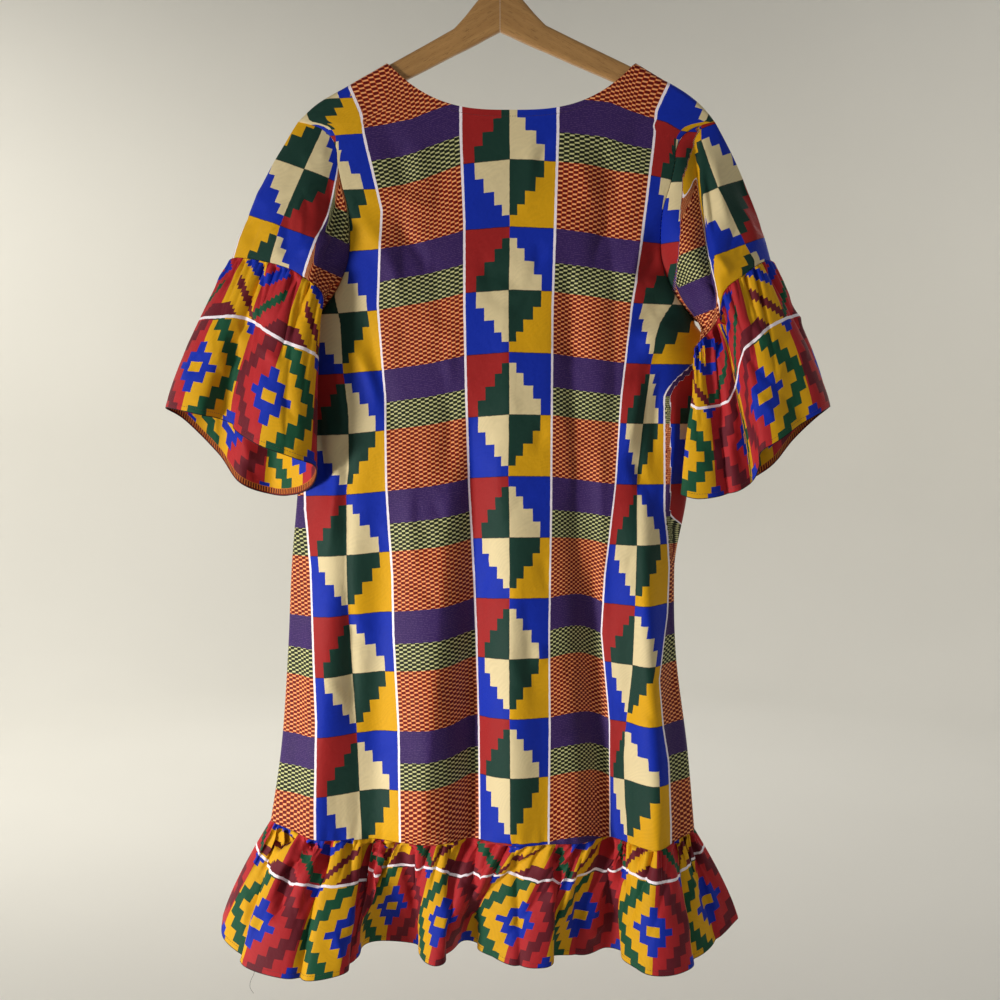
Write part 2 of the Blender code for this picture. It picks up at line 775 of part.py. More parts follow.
# ---------------------------------------------------------------- hanger
def hanger_arm(name, side, mat):
    rows = np.array(ARM, float) * MM
    ring_count = len(rows)
    verts, faces = [], []
    for i, (x, top, bottom, half) in enumerate(rows):
        x = max(x, ARM_JOIN)
        middle, rise = (top + bottom) / 2, (top - bottom) / 2
        for k in range(ARM_SIDES):
            a = 2 * math.pi * (k + 0.5) / ARM_SIDES
            c, s = math.cos(a), math.sin(a)
            y = half * math.copysign(abs(c) ** (2 / ARM_SQUARE), c)
            z = middle + rise * math.copysign(abs(s) ** (2 / ARM_SQUARE), s)
            verts.append((side * x, y, z + side * x * math.tan(LEAN)))
        if i:
            for k in range(ARM_SIDES):
                n = (k + 1) % ARM_SIDES
                a, b = (i - 1) * ARM_SIDES, i * ARM_SIDES
                faces.append((a + k, a + n, b + n, b + k))
    faces.append(tuple(range(ARM_SIDES)))
    faces.append(tuple((ring_count - 1) * ARM_SIDES + k for k in range(ARM_SIDES)))
    return add_object(name, verts, faces, mat, sharp=50)


def ring_of(middle, one_way, other_way, radius):
    """Points of a circle in the plane of two unit vectors."""
    turns = 2 * math.pi * np.arange(WIRE_SIDES) / WIRE_SIDES
    return middle + radius * (np.outer(np.cos(turns), one_way) + np.outer(np.sin(turns), other_way))


def hanger_hook(mat):
    """Bent wire with a collar that sits on the wood, as one turned and swept body."""
    x_way, y_way, z_way = np.eye(3)
    base = ARM[0][1] * MM + COLLAR_LIFT
    shoulder = base + COLLAR_H
    rings = [
        ring_of(z_way * base, x_way, y_way, COLLAR_R),
        ring_of(z_way * shoulder, x_way, y_way, COLLAR_R),
        ring_of(z_way * (shoulder + COLLAR_CONE), x_way, y_way, WIRE),
    ]
    middle = smooth_line([(x * MM, 0, z * MM) for x, z in HOOK], False, fine=3)
    middle = middle[np.argmax(middle[:, 2] > shoulder + WIRE) :]
    tangents = unit(np.gradient(middle, axis=0))
    rings += [ring_of(p, np.cross(y_way, t), y_way, WIRE) for p, t in zip(middle, tangents)]
    tip = middle[-1] + tangents[-1] * WIRE * 0.7
    rings.append(ring_of(tip, np.cross(y_way, tangents[-1]), y_way, WIRE * 0.6))

    faces = []
    for i in range(len(rings) - 1):
        a, b = i * WIRE_SIDES, (i + 1) * WIRE_SIDES
        for k in range(WIRE_SIDES):
            n = (k + 1) % WIRE_SIDES
            faces.append((a + k, a + n, b + n, b + k))
    faces.append(tuple(range(WIRE_SIDES)))
    faces.append(tuple((len(rings) - 1) * WIRE_SIDES + k for k in range(WIRE_SIDES)))
    return add_object("hanger_hook", np.concatenate(rings), faces, mat, sharp=40)


def main():
    for obj in list(bpy.data.objects):
        bpy.data.objects.remove(obj, do_unlink=True)
    cloth = material("wax_print_cotton", (0.43, 0.11, 0.05), 0.72)
    border = material("wax_print_border_cotton", (0.50, 0.12, 0.05), 0.72)
    wood = material("beech_wood", (0.42, 0.24, 0.10), 0.45)
    steel = material("bright_steel", (0.72, 0.72, 0.73), 0.22, 1.0)

    back, front = body_panels(cloth)
    for side_name, side, cuff, bell in (
        ("left", -1, CUFF_LEFT, BELL_LEFT),
        ("right", 1, CUFF_RIGHT, BELL_RIGHT),
    ):
        ring, normals, across = sleeve(f"sleeve_{side_name}", side, back, front, cuff, cloth)
        sleeve_ruffle(f"sleeve_ruffle_{side_name}", ring, normals, across, bell, border)
        hanger_arm(f"hanger_arm_{side_name}", side, wood)
    hem_ruffle("hem_ruffle_back", back, -1, HEM_BACK, border)
    hem_ruffle("hem_ruffle_front", front, 1, HEM_FRONT, border)
    hanger_hook(steel)


main()
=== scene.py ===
# %% [markdown]
# # A wax print dress on a wooden hanger
#
# The dress is a tube of printed cotton: a back and a front, two set-in sleeves that end in
# gathered ruffles, and a gathered ruffle round the hem. It hangs from a wooden hanger, so its
# whole shape comes from where it is held and from its own weight.
#
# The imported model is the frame. It says where everything hangs, in metres, with +Z up and the
# back of the dress facing -Y. Everything below is placed in that same frame.

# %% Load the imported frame
import math

import bmesh
import bpy
import numpy as np
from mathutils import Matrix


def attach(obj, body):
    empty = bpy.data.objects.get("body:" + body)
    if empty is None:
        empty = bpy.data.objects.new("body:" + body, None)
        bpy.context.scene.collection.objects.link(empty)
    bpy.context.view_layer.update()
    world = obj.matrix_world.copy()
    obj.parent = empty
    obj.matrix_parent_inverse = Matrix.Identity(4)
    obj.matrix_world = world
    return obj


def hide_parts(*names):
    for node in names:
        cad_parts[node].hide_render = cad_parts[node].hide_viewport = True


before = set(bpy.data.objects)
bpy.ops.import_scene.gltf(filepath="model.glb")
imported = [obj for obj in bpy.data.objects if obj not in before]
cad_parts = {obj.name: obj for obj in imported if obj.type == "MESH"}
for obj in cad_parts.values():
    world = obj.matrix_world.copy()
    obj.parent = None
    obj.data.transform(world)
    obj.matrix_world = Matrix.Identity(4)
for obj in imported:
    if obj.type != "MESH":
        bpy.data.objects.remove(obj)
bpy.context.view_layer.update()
MM = 0.001

# %% [markdown]
# ## Camera
#
# The dress is seen from the back, with the camera level with its chest and tilted down by five
# degrees. The lens could be guessed by eye, but a focal length worked out from known sizes
# keeps the tall dress in true perspective.

# %% Camera
FOCAL_PIXELS = 1133  # focal length, for a picture 1000 pixels wide
camera_data = bpy.data.cameras.new("camera")
camera_data.sensor_width = 36
camera_data.lens = 36 * FOCAL_PIXELS / 1000
camera = bpy.data.objects.new("camera", camera_data)
camera.location = (0, -1.44, -0.5824)
camera.rotation_euler = (math.radians(85), 0, 0)
bpy.context.scene.collection.objects.link(camera)
bpy.context.scene.camera = camera
print("lens", round(camera_data.lens, 1), "mm")

# %% [markdown]
# ## Shader sums
#
# A print is a sum of simple rules: which strip am I in, which step of the diamond, which row of
# checks. Wiring each rule by hand makes a net of nodes that nobody can read. This small class
# wraps one output of a node, so that a rule can be written as ordinary Python and still ends up
# as Math nodes. Colours go through Mix nodes.


# %% Numbers and finishes
class Value:
    """The number on one node output. Sums written with it become Math nodes."""

    def __init__(self, finish, socket):
        self.finish, self.socket = finish, socket

    def maths(self, operation, *others):
        return self.finish.maths(operation, self, *others)

    def __rsub__(self, other):
        return self.finish.maths("SUBTRACT", other, self)

    def __invert__(self):
        return 1 - self

    def floor(self):
        return self.maths("FLOOR")

    def sine(self):
        return self.maths("SINE")


# Which Math node each Python operator stands for. Yes and no are 1 and 0, so & multiplies.
OPERATORS = {
    "add": "ADD", "radd": "ADD", "sub": "SUBTRACT", "mul": "MULTIPLY", "rmul": "MULTIPLY",
    "truediv": "DIVIDE", "mod": "FLOORED_MODULO", "gt": "GREATER_THAN", "lt": "LESS_THAN",
    "and": "MULTIPLY", "or": "MAXIMUM", "abs": "ABSOLUTE",
}
for word, operation in OPERATORS.items():
    setattr(Value, f"__{word}__", lambda self, *other, kind=operation: self.maths(kind, *other))


class Finish:
    """A material made round one Principled shader."""

    def __init__(self, name, **fixed):
        self.material = bpy.data.materials.new(name)
        self.material.use_nodes = True
        self.tree = self.material.node_tree
        self.shader = self.tree.nodes["Principled BSDF"]
        for socket, value in fixed.items():
            self.shader.inputs[socket.replace("_", " ")].default_value = value

    def join(self, value, socket):
        if isinstance(value, Value):
            self.tree.links.new(value.socket, socket)
        elif isinstance(value, bpy.types.NodeSocket):
            self.tree.links.new(value, socket)
        else:
            socket.default_value = value

    def node(self, kind, settings=(), inputs=()):
        made = self.tree.nodes.new("ShaderNode" + kind)
        for key, value in dict(settings).items():
            setattr(made, key, value)
        for key, value in dict(inputs).items():
            self.join(value, made.inputs[key])
        return made

    def maths(self, operation, *values):
        made = self.node("Math", {"operation": operation}, enumerate(values))
        return Value(self, made.outputs[0])

    def mix(self, share, first, second):
        """The first colour where share is 0 and the second where it is 1."""
        return self.node("Mix", {"data_type": "RGBA"}, {0: share, 6: first, 7: second}).outputs[2]

    def tint(self, colour, amount):
        """A colour made darker or lighter by an amount that varies."""
        scaled = {"operation": "SCALE"}
        return self.node("VectorMath", scaled, {0: colour, "Scale": amount}).outputs[0]

    def drive(self, socket, value):
        """Feeds one input of the shader."""
        self.join(value, self.shader.inputs[socket])

    def here(self):
        """The place of a spot on its object, in metres."""
        return self.node("TexCoord").outputs["Object"]

    def split(self, vector):
        return [Value(self, out) for out in self.node("SeparateXYZ", (), {0: vector}).outputs]

    def noise(self, place, scale, detail=2.0, roughness=0.5):
        wanted = {"Vector": place, "Scale": scale, "Detail": detail, "Roughness": roughness}
        return Value(self, self.node("TexNoise", (), wanted).outputs["Fac"])

    def relief(self, height, distance, strength=1.0):
        """Turns a height into the shader's normal; distance is what a height of 1 stands for."""
        wanted = {"Height": height, "Distance": distance, "Strength": strength}
        self.drive("Normal", self.node("Bump", (), wanted).outputs[0])


def dye(red, green, blue, lift=1.0):
    """A colour given in the 0 to 255 steps of a paint chart, for a shader."""
    steps = np.array([red, green, blue]) / 255
    linear = np.where(steps <= 0.04045, steps / 12.92, ((steps + 0.055) / 1.055) ** 2.4)
    return (*(linear * lift).clip(0, 0.95), 1)


print("a mid grey is", round(dye(128, 128, 128)[0], 3))

# %% [markdown]
# ## Curves and tables
#
# Cloth has no straight edges, so most lengths here are read from short tables of a few
# stations with a smooth curve through them. That keeps each size where it can be changed, and a
# fine mesh can be taken from a handful of numbers.


# %% Helpers for curves
def ease(x):
    """0 below 0, 1 above 1, and a smooth rise between them."""
    x = np.clip(x, 0, 1)
    return x * x * (3 - 2 * x)


def table_curve(rows, column, at):
    """Smooth value of one column of a table at the keys of its first column."""
    rows = sorted(rows)
    keys = np.array([row[0] for row in rows], float)
    values = np.array([row[column] for row in rows], float)
    slopes = np.gradient(values, keys)
    at = np.clip(np.asarray(at, float), keys[0], keys[-1])
    i = np.clip(np.searchsorted(keys, at) - 1, 0, len(keys) - 2)
    span = keys[i + 1] - keys[i]
    t = (at - keys[i]) / span
    return (
        (1 + 2 * t) * (1 - t) ** 2 * values[i]
        + t * (1 - t) ** 2 * span * slopes[i]
        + t * t * (3 - 2 * t) * values[i + 1]
        + t * t * (t - 1) * span * slopes[i + 1]
    )


def smooth_line(points, closed, fine=24):
    """Catmull-Rom curve through points, finely divided."""
    points = np.asarray(points, float)
    n = len(points)
    spans = n if closed else n - 1
    out = []
    for k in range(spans):
        if closed:
            a, b, c, d = (points[(k + m) % n] for m in (-1, 0, 1, 2))
        else:
            b, c = points[k], points[k + 1]
            a = points[k - 1] if k else 2 * b - c
            d = points[k + 2] if k + 2 < n else 2 * c - b
        bend, twist = 2 * a - 5 * b + 4 * c - d, 3 * b - a - 3 * c + d
        out += [0.5 * (2 * b + (c - a) * t + bend * t**2 + twist * t**3) for t in np.arange(fine) / fine]
    out.append(points[0] if closed else points[-1])
    return np.array(out)


def unit(v):
    """The same directions with a length of 1."""
    return v / np.maximum(np.linalg.norm(v, axis=-1, keepdims=True), 1e-12)


def run_of(line):
    """Distance from the first point to each point of a line, or of each row of a grid."""
    steps = np.linalg.norm(np.diff(line, axis=-2), axis=-1)
    return np.concatenate([np.zeros_like(steps[..., :1]), np.cumsum(steps, axis=-1)], axis=-1)


def down_of(grid):
    """Length of cloth from the top row of a grid down to each of its points."""
    return run_of(grid.swapaxes(0, 1)).T


def shares_of(line):
    """The distance from the first point to each point of a line, as a share of its length."""
    return run_of(line) / run_of(line)[-1]


def read_at(line, run, at):
    """Points of a line at some distances, where run is the distance of each of its own points."""
    return np.stack([np.interp(at, run, line[:, k]) for k in range(3)], axis=1)


def along(line, shares):
    """Points at shares of the length of a finely divided line."""
    run = run_of(line)
    return read_at(line, run, np.asarray(shares) * run[-1])


def wrapped(grid):
    """The grid of a tube with its first column once more at the end."""
    return np.concatenate([grid, grid[:, :1]], axis=1)


def straight_curve(rows, column, at):
    """One column of a table at the keys of its first column, with straight lines between its rows."""
    rows = sorted(rows)
    return np.interp(at, [row[0] for row in rows], [row[column] for row in rows])


def angles(sides, first=0.0):
    """Even angles once round."""
    return 2 * math.pi * (np.arange(sides) + first) / sides


def circle(turns, one_way, other_way):
    """A ring of directions at angles, in the plane of two directions."""
    return np.outer(np.cos(turns), one_way) + np.outer(np.sin(turns), other_way)


def ring_faces(rings, sides, first=0):
    """Four-sided faces between rings of points that follow each other, from point first on."""
    pairs = [(n, (n + 1) % sides) for n in range(sides)]
    bases = range(first, first + (rings - 1) * sides, sides)
    return [(base + a, base + b, base + b + sides, base + a + sides) for base in bases for a, b in pairs]


def plain_mesh(name, points, faces):
    """A new mesh from points and from faces that are rows of point numbers."""
    mesh = bpy.data.meshes.new(name)
    mesh.from_pydata(np.array(points).tolist(), [], faces)
    return mesh


def add_object(name, mesh, finish, sharp=None):
    """Puts a mesh into the scene, smooth but for the edges sharper than so many degrees."""
    mesh.shade_smooth()
    if sharp:
        mesh.set_sharp_from_angle(angle=math.radians(sharp))
    mesh.materials.append(finish.material)
    obj = bpy.data.objects.new(name, mesh)
    bpy.context.scene.collection.objects.link(obj)
    return obj


print("halfway through an ease:", ease(0.5))

# %% [markdown]
# ## How the dress hangs
#
# The shoulders lie on the hanger and drop past its tips, and below the arms the two panels fall
# in long folds. A cloth simulation could find such a shape, but it would not find these
# folds. So each panel is built as a hanging surface: an outline, a shallow barrel
# section that changes with height, and the folds added one by one.

# %% Sizes of the hanging dress
DRESS_X = 14 * MM  # the dress hangs this far right of the hook
NECK_HALF = 153 * MM  # half the width of the neck opening
NECK_Z = -168 * MM  # height of the neck points
BACK_NECK_DROP = 58 * MM  # depth of the back neck below the neck points
FRONT_NECK_DROP = 112 * MM  # depth of the front neck
BACK_NECK_ROUND = 2.9  # how square the back neck curve is
FRONT_NECK_ROUND = 2.2
NECK_TURN = 3 * MM  # width over which the neck edge leaves the top of the hanger
REACH_LEFT = 264 * MM  # from the middle of the dress to the left shoulder end
REACH_RIGHT = 252 * MM
SHOULDER_Z = -238 * MM  # height of the shoulder ends
UNDERARM_Z = -480 * MM  # height of the underarm points
CHEST_ROUND = 2.3  # how square a body section is
EDGE_PULL = 2.2  # how closely only the outer columns follow the edge of the body
TURN_OVER = 7 * MM  # height over which the cloth turns over the top of the hanger
SEAM = 0.2 * MM  # how far each wall stops short of a seam line
UNDERARM_SEAM = 0.7 * MM  # the same at the underarm, where the seam turns
CUFF_SEAM = 0.3 * MM  # the same where a sleeve meets its ruffle
SHOULDER_LEFT = (
    (NECK_HALF / MM, NECK_Z / MM), (168, -176.6), (184, -185.2), (209, -199.2), (221, -205.5),
    (243, -219), (REACH_LEFT / MM, SHOULDER_Z / MM),
)
SHOULDER_RIGHT = (
    (NECK_HALF / MM, NECK_Z / MM), (168, -176.6), (184, -185.8), (205, -197), (222, -208), (238, -221.5),
    (REACH_RIGHT / MM, SHOULDER_Z / MM),
)
# Rows of the armhole, as shares of its height, and how the cloth faces there in degrees.
ARMHOLE_ROWS = (0, 0.007, 0.025, 0.06, 0.13, 0.22, 0.33, 0.45, 0.58, 0.71, 0.83, 0.93, 1)
ARMHOLE_TILT = (90, 70, 40, 12, 0, 0, 0, 0, 0, 0, -14, -45, -90)
# Gather seam at the hem, (share of the half width from the centre, height) in mm.
HEM_SEAM = (
    (-1.00, -1128), (-0.80, -1142), (-0.55, -1146), (-0.25, -1146), (0.00, -1146), (0.45, -1148),
    (0.80, -1150), (1.00, -1140),
)
# Armhole edge of a panel, (share of the way down, distance in from the shoulder end) in mm.
ARMHOLE = (
    (0.00, 0), (0.025, 22), (0.06, 36), (0.13, 47), (0.22, 50), (0.33, 56), (0.45, 64), (0.58, 66),
    (0.71, 63), (0.85, 48), (1.00, 18),
)
# Side seams, (height, left x, right x) in mm.
SIDE_SEAMS = (
    (-480, -236, 247), (-540, -246, 245), (-610, -253, 238), (-660, -257, 232), (-708, -261, 228),
    (-786, -268, 225), (-900, -274, 227), (-1035, -285, 244), (-1150, -303, 255),
)
# Sections: height, how far back and front stand out, armhole gape, depth of the side seam.
SECTION = (
    # height, back, front, gape, side_y
    (-170, 10, 10, 0, 0), (-240, 11, 11, 2, 0), (-300, 14, 14, 12, 1), (-380, 19, 18, 15, 5),
    (-440, 24, 22, 10, 12), (-480, 26, 24, 0, 17), (-600, 28, 26, 0, 18), (-708, 31, 28, 0, 14),
    (-900, 34, 31, 0, 6), (-1150, 36, 34, 0, 0),
)
# Long folds: x at the top and low down, where they start and are full, half width, depth.
BACK_FOLDS = (
    # x_top, x_low, start, full, half_width, depth
    (-190, -232, -560, -1000, 30, 20), (-140, -156, -520, -950, 24, -11), (-95, -92, -640, -1050, 28, 7),
    (-30, -36, -560, -1060, 21, -20), (25, 24, -480, -1000, 28, 10), (118, 136, -520, -960, 25, -27),
    (165, 193, -560, -960, 23, 24), (-215, -252, -620, -760, 14, -6),
)
FRONT_FOLDS = (
    (-150, -190, -560, -1000, 28, 14), (-85, -110, -600, -1000, 26, -14), (-20, -30, -560, -1000, 30, 13),
    (60, 55, -600, -1050, 26, -15), (125, 135, -560, -1000, 28, 14),
)
# Drag marks: x, z, half length, half width, turn in degrees, depth.
BACK_DRAGS = (
    # x, z, half_length, half_width, turn, depth
    (-150, -390, 60, 12, -52, 5), (-118, -300, 70, 14, -64, -3), (165, -400, 60, 12, 55, 5),
    (212, -505, 38, 17, 30, 15), (150, -300, 70, 14, 66, -3),
)
FRONT_DRAGS = (
    (-140, -400, 60, 14, -52, 4),
    (150, -400, 60, 14, 52, 4),
)
print(len(BACK_FOLDS), "long folds on the back,", len(FRONT_FOLDS), "on the front")


# %% The hanging surface of a panel
def neck_and_shoulder_z(x, drop, squareness):
    """Height of a panel's top edge at a distance x from the middle of the dress."""
    d = np.abs(x)
    neck = NECK_Z - drop * (1 - np.clip(d / NECK_HALF, 0, 1) ** squareness)
    left, right = (table_curve(rows, 1, d / MM) * MM for rows in (SHOULDER_LEFT, SHOULDER_RIGHT))
    return np.where(d < NECK_HALF - 1e-9, neck, np.where(x < 0, left, right))


def edge_x(side, z):
    """Where the edge of the body lies, left (-1) or right (+1), at a height below the shoulder end."""
    share = (z - SHOULDER_Z) / (UNDERARM_Z - SHOULDER_Z)
    low = table_curve(SIDE_SEAMS, 1 if side < 0 else 2, z / MM) * MM
    reach = REACH_LEFT if side < 0 else REACH_RIGHT
    under = DRESS_X + side * (reach - ARMHOLE[-1][1] * MM)
    inset = table_curve(ARMHOLE, 1, share) * MM
    start = SIDE_SEAMS[0][1 if side < 0 else 2] * MM
    high = DRESS_X + side * (reach - inset) + (start - under) * ease(share)
    return np.where(share < 1, high, low)


def ridge(x, z, rows):
    """Depth of the lengthwise folds of a panel at x, z."""
    out = np.zeros_like(x)
    for x_top, x_low, start, full, half_width, depth in rows:
        grown = ease((start * MM - z) / ((start - full) * MM))
        middle = (x_top + (x_low - x_top) * np.clip((start * MM - z) / ((start - full) * MM), 0, 1.3)) * MM
        out += depth * MM * grown * np.exp(-(((x - middle) / (half_width * MM)) ** 2))
    return out


def drag(x, z, rows):
    """Depth of the slanting drag marks of a panel at x, z."""
    out = np.zeros_like(x)
    for x0, z0, half_length, half_width, turn, depth in rows:
        c, s = math.cos(math.radians(turn)), math.sin(math.radians(turn))
        run = ((x - x0 * MM) * c + (z - z0 * MM) * s) / (half_length * MM)
        off = ((z - z0 * MM) * c - (x - x0 * MM) * s) / (half_width * MM)
        out += depth * MM * np.exp(-(run**2) - off**2)
    return out


ABOVE = np.linspace(0, 1, 62) ** 1.5  # rows between the top edge and the underarm
BELOW = 1 - (1 - np.arange(1, 116) / 115) ** 1.12  # rows from there to the hem seam
UNDER = len(ABOVE) - 1
HALF_COLUMNS = 80  # from the middle of a panel to its side
SIDE_SLACK = 12 * MM  # how far the slack cloth under the right arm stands out
SLACK_END = -800 * MM  # height at which it has died out
PANELS = {
    "back": (-1, BACK_NECK_DROP, BACK_NECK_ROUND, BACK_FOLDS, BACK_DRAGS),
    "front": (1, FRONT_NECK_DROP, FRONT_NECK_ROUND, FRONT_FOLDS, FRONT_DRAGS),
}


def reach_at(shares):
    """From the middle of the dress to the shoulder end of the side on which each share lies."""
    return np.where(shares < 0, REACH_LEFT, REACH_RIGHT)


def shares_across(even, crowding, turn=False):
    """Places from side to side, -1 to 1, closer together at the sides, with one at each neck point.
    With turn there is one more where the neck edge leaves the hanger."""
    halves = []
    for reach in (REACH_LEFT, REACH_RIGHT):
        half = 1 - (1 - even) ** crowding
        neck = NECK_HALF / reach
        half[np.argmin(np.abs(half - neck))] = neck
        if turn:
            half = np.sort(np.r_[half, neck - NECK_TURN / reach])
        halves.append(half)
    return np.r_[-halves[0][:0:-1], halves[1]]


def hanging_panel(which, shares, above, below):
    """Middle surface of a panel, rows from the top down."""
    facing, drop, squareness, folds, drags = PANELS[which]
    reach = reach_at(shares)
    top_x = shares * reach
    top_z = neck_and_shoulder_z(top_x, drop, squareness)
    low_z = table_curve(HEM_SEAM, 1, shares) * MM
    rows = [top_z + (UNDERARM_Z - top_z) * g for g in above]
    rows += [UNDERARM_Z + (low_z - UNDERARM_Z) * g for g in below]
    z = np.array(rows)
    s = np.broadcast_to(shares, z.shape)
    edge = np.where(s < 0, DRESS_X - edge_x(-1, z), edge_x(1, z) - DRESS_X)
    x = DRESS_X + s * reach + (edge - reach) * np.abs(s) ** EDGE_PULL * np.sign(s)
    slack = ease((UNDERARM_Z - z - 1 * MM) / (20 * MM)) * ease((z - SLACK_END) / (100 * MM))
    x += SIDE_SLACK * slack * np.clip(s, 0, 1) ** 6

    # A shallow barrel section, with the folds on top.
    stand, gape, side_y = (table_curve(SECTION, k, z / MM) * MM for k in (2 if facing > 0 else 1, 3, 4))
    gape = np.where(z > UNDERARM_Z + 1e-6, np.maximum(gape, 0), 0)
    round_off = (1 - np.abs(s) ** CHEST_ROUND) ** (1 / CHEST_ROUND)
    y = facing * (gape + (stand - gape) * round_off) + side_y * np.abs(s) ** 3
    y += facing * (1 - np.abs(s) ** 8) * (ridge(x, z, folds) + drag(x, z, drags))

    # The cloth turns over the top of the hanger at the shoulders, and lies open at the neck.
    below_top = np.clip((top_z - z) / TURN_OVER, 0, 1)
    on_shoulder = ease((np.abs(top_x) - NECK_HALF + NECK_TURN) / NECK_TURN)
    y *= 1 - on_shoulder * (1 - np.sqrt(1 - (1 - below_top) ** 2))
    return np.stack([x, y, z], axis=-1)


SHARES = shares_across(np.linspace(0, 1, HALF_COLUMNS + 1), 1.2)
hung = {which: hanging_panel(which, SHARES, ABOVE, BELOW) for which in PANELS}
print("panel grid", hung["back"].shape[:2], "- width at the hem seam in mm:")
print(round(float(run_of(hung["back"][-1])[-1] / MM)))

# %% [markdown]
# ## Creases
#
# Cotton that has been folded and worn keeps short soft creases on top of its long folds: pulls
# towards the armholes, a slack pouch under each arm, dents across the back. Noise would put
# them everywhere alike. A table of single creases, each with its own place, length, width and
# depth, gives the uneven look of real cloth, and a few more are scattered between them.

# %% Creases placed one by one
BACK_CREASES = (
    # from x, z to x, z, half width, depth (a trough is negative), sideways bow
    (-146, -345, -84, -432, 9, -3.6, 6), (-140, -318, -66, -352, 11, 2.6, -5),
    (-150, -390, -112, -500, 10, 3.4, 6), (-168, -455, -120, -640, 12, -4.2, -8),
    (-196, -500, -150, -600, 10, 3.6, 8), (-214, -520, -196, -660, 8, 4.2, 5),
    (-232, -560, -214, -720, 8, -4.0, -4), (-206, -640, -222, -800, 9, 3.6, 4),
    (-228, -640, -176, -690, 8, -2.6, 4), (-96, -255, -118, -352, 13, 2.4, 5),
    (-60, -270, -78, -380, 12, -2.0, -5), (38, -246, 28, -362, 12, 2.0, 4),
    (96, -262, 120, -352, 13, 2.6, -5), (128, -268, 150, -372, 10, -3.0, 5),
    (156, -330, 112, -432, 10, -3.4, -7), (176, -352, 150, -470, 9, 3.6, 6),
    (196, -392, 160, -432, 8, -3.4, 5), (206, -428, 150, -455, 9, 3.8, -6),
    (214, -452, 156, -496, 8, -3.8, 6), (222, -476, 170, -520, 9, 4.4, -4),
    (214, -512, 150, -560, 10, -3.6, 5), (176, -520, 150, -670, 10, 3.2, 7),
    (206, -530, 196, -690, 9, -3.8, -6), (220, -560, 210, -740, 9, 3.8, 4),
    (150, -640, 196, -720, 9, -2.4, 5), (-20, -420, 34, -450, 10, -1.8, 4),
    (-96, -470, -40, -520, 11, 2.0, -5), (60, -500, 112, -540, 11, -2.0, 5),
    (-60, -560, -76, -700, 12, -2.4, 5), (-4, -600, 6, -760, 11, 2.2, -4),
    (70, -560, 92, -740, 13, 2.6, 6), (-110, -660, -104, -830, 12, 2.6, -5),
    (-130, -800, -66, -842, 9, -1.8, 4), (-196, -800, -190, -960, 11, -2.8, 6),
    (34, -800, 48, -980, 12, -2.4, -5), (-48, -860, -52, -1050, 10, -2.6, 4),
    (110, -760, 122, -960, 10, -2.6, 5), (150, -820, 160, -1010, 11, 2.6, -5),
    (212, -800, 224, -1010, 9, -3.0, 5), (-246, -850, -252, -1040, 8, 3.0, 4),
    (-86, -930, -20, -958, 8, -1.6, -4), (70, -1010, 132, -990, 8, -1.8, 4),
    (-160, -1040, -96, -1020, 8, -1.8, 4),
)
FRONT_CREASES = (
    (-150, -350, -96, -440, 10, -3.4, 6), (-190, -470, -140, -560, 10, 3.6, -6),
    (-216, -500, -170, -530, 9, -3.6, 5), (-90, -290, -70, -390, 12, 2.2, 5),
    (20, -300, 34, -400, 12, -2.0, 4), (110, -280, 132, -380, 12, 2.4, -5),
    (168, -350, 118, -440, 10, -3.4, 6), (206, -470, 160, -520, 9, 3.8, 5),
    (196, -520, 150, -640, 10, -3.4, -6), (-120, -620, -128, -800, 12, -2.6, 5),
    (-40, -560, -30, -730, 12, 2.4, -5), (60, -640, 80, -820, 12, -2.4, 5),
    (-70, -860, -60, -1040, 11, 2.4, 4), (30, -900, 24, -1070, 11, -2.4, -4),
    (180, -760, 196, -940, 10, 2.8, 5), (-200, -760, -214, -950, 10, -2.8, -5),
)
LONG_FOLDS = (
    # depth (a ridge is negative), width of its left and right flank, then (height, x) down its line
    (5, 15, 12, (-240, 126), (-296, 129), (-374, 135), (-459, 143), (-606, 144), (-700, 138)),
    (12, 21, 22, (-380, 86), (-441, 88), (-606, 93), (-762, 98), (-909, 109), (-1058, 124), (-1340, 148)),
    (-9, 14, 18, (-600, 123), (-762, 129), (-909, 137), (-1058, 146), (-1340, 170)),
    (-6, 36, 15, (-640, -60), (-706, -64), (-775, -70), (-924, -80), (-1078, -94), (-1340, -112)),
    (8, 12, 18, (-560, -38), (-618, -37), (-775, -34), (-924, -35), (-1078, -38), (-1340, -41)),
    (-4, 20, 20, (-420, 6), (-560, 8), (-800, 12), (-1100, 14), (-1340, 14)),
    (2.4, 9, 14, (-380, -81), (-422, -80), (-465, -76), (-618, -63), (-700, -60)),
    (2.6, 9, 14, (-250, -119), (-326, -120), (-459, -119), (-560, -124)),
    (6, 18, 7, (-600, -188), (-681, -193), (-776, -194), (-845, -193), (-922, -190), (-1020, -186)),
    (3, 14, 9, (-900, -186), (-1006, -184), (-1100, -182), (-1340, -178)),
    (6, 16, 9, (-520, 186), (-600, 181), (-700, 172), (-860, 172), (-1000, 164), (-1340, 168)),
)
CREASE_GAIN = 1.5  # all creases are this much deeper than their tables say


def creases(x, z, rows):
    """Depth of a table of creases at x, z. Each one tapers out at both ends."""
    out = np.zeros_like(x)
    for x0, z0, x1, z1, half_width, depth, bow in rows:
        way = np.array([x1 - x0, z1 - z0]) * MM
        length = np.hypot(*way)
        way /= length
        run = ((x - x0 * MM) * way[0] + (z - z0 * MM) * way[1]) / length
        off = (z - z0 * MM) * way[0] - (x - x0 * MM) * way[1] - bow * MM * 4 * run * (1 - run)
        taper = ease(run / 0.4) * ease((1 - run) / 0.4)
        out += CREASE_GAIN * depth * MM * taper * np.exp(-(np.abs(off / (half_width * MM)) ** 1.5))
    return out


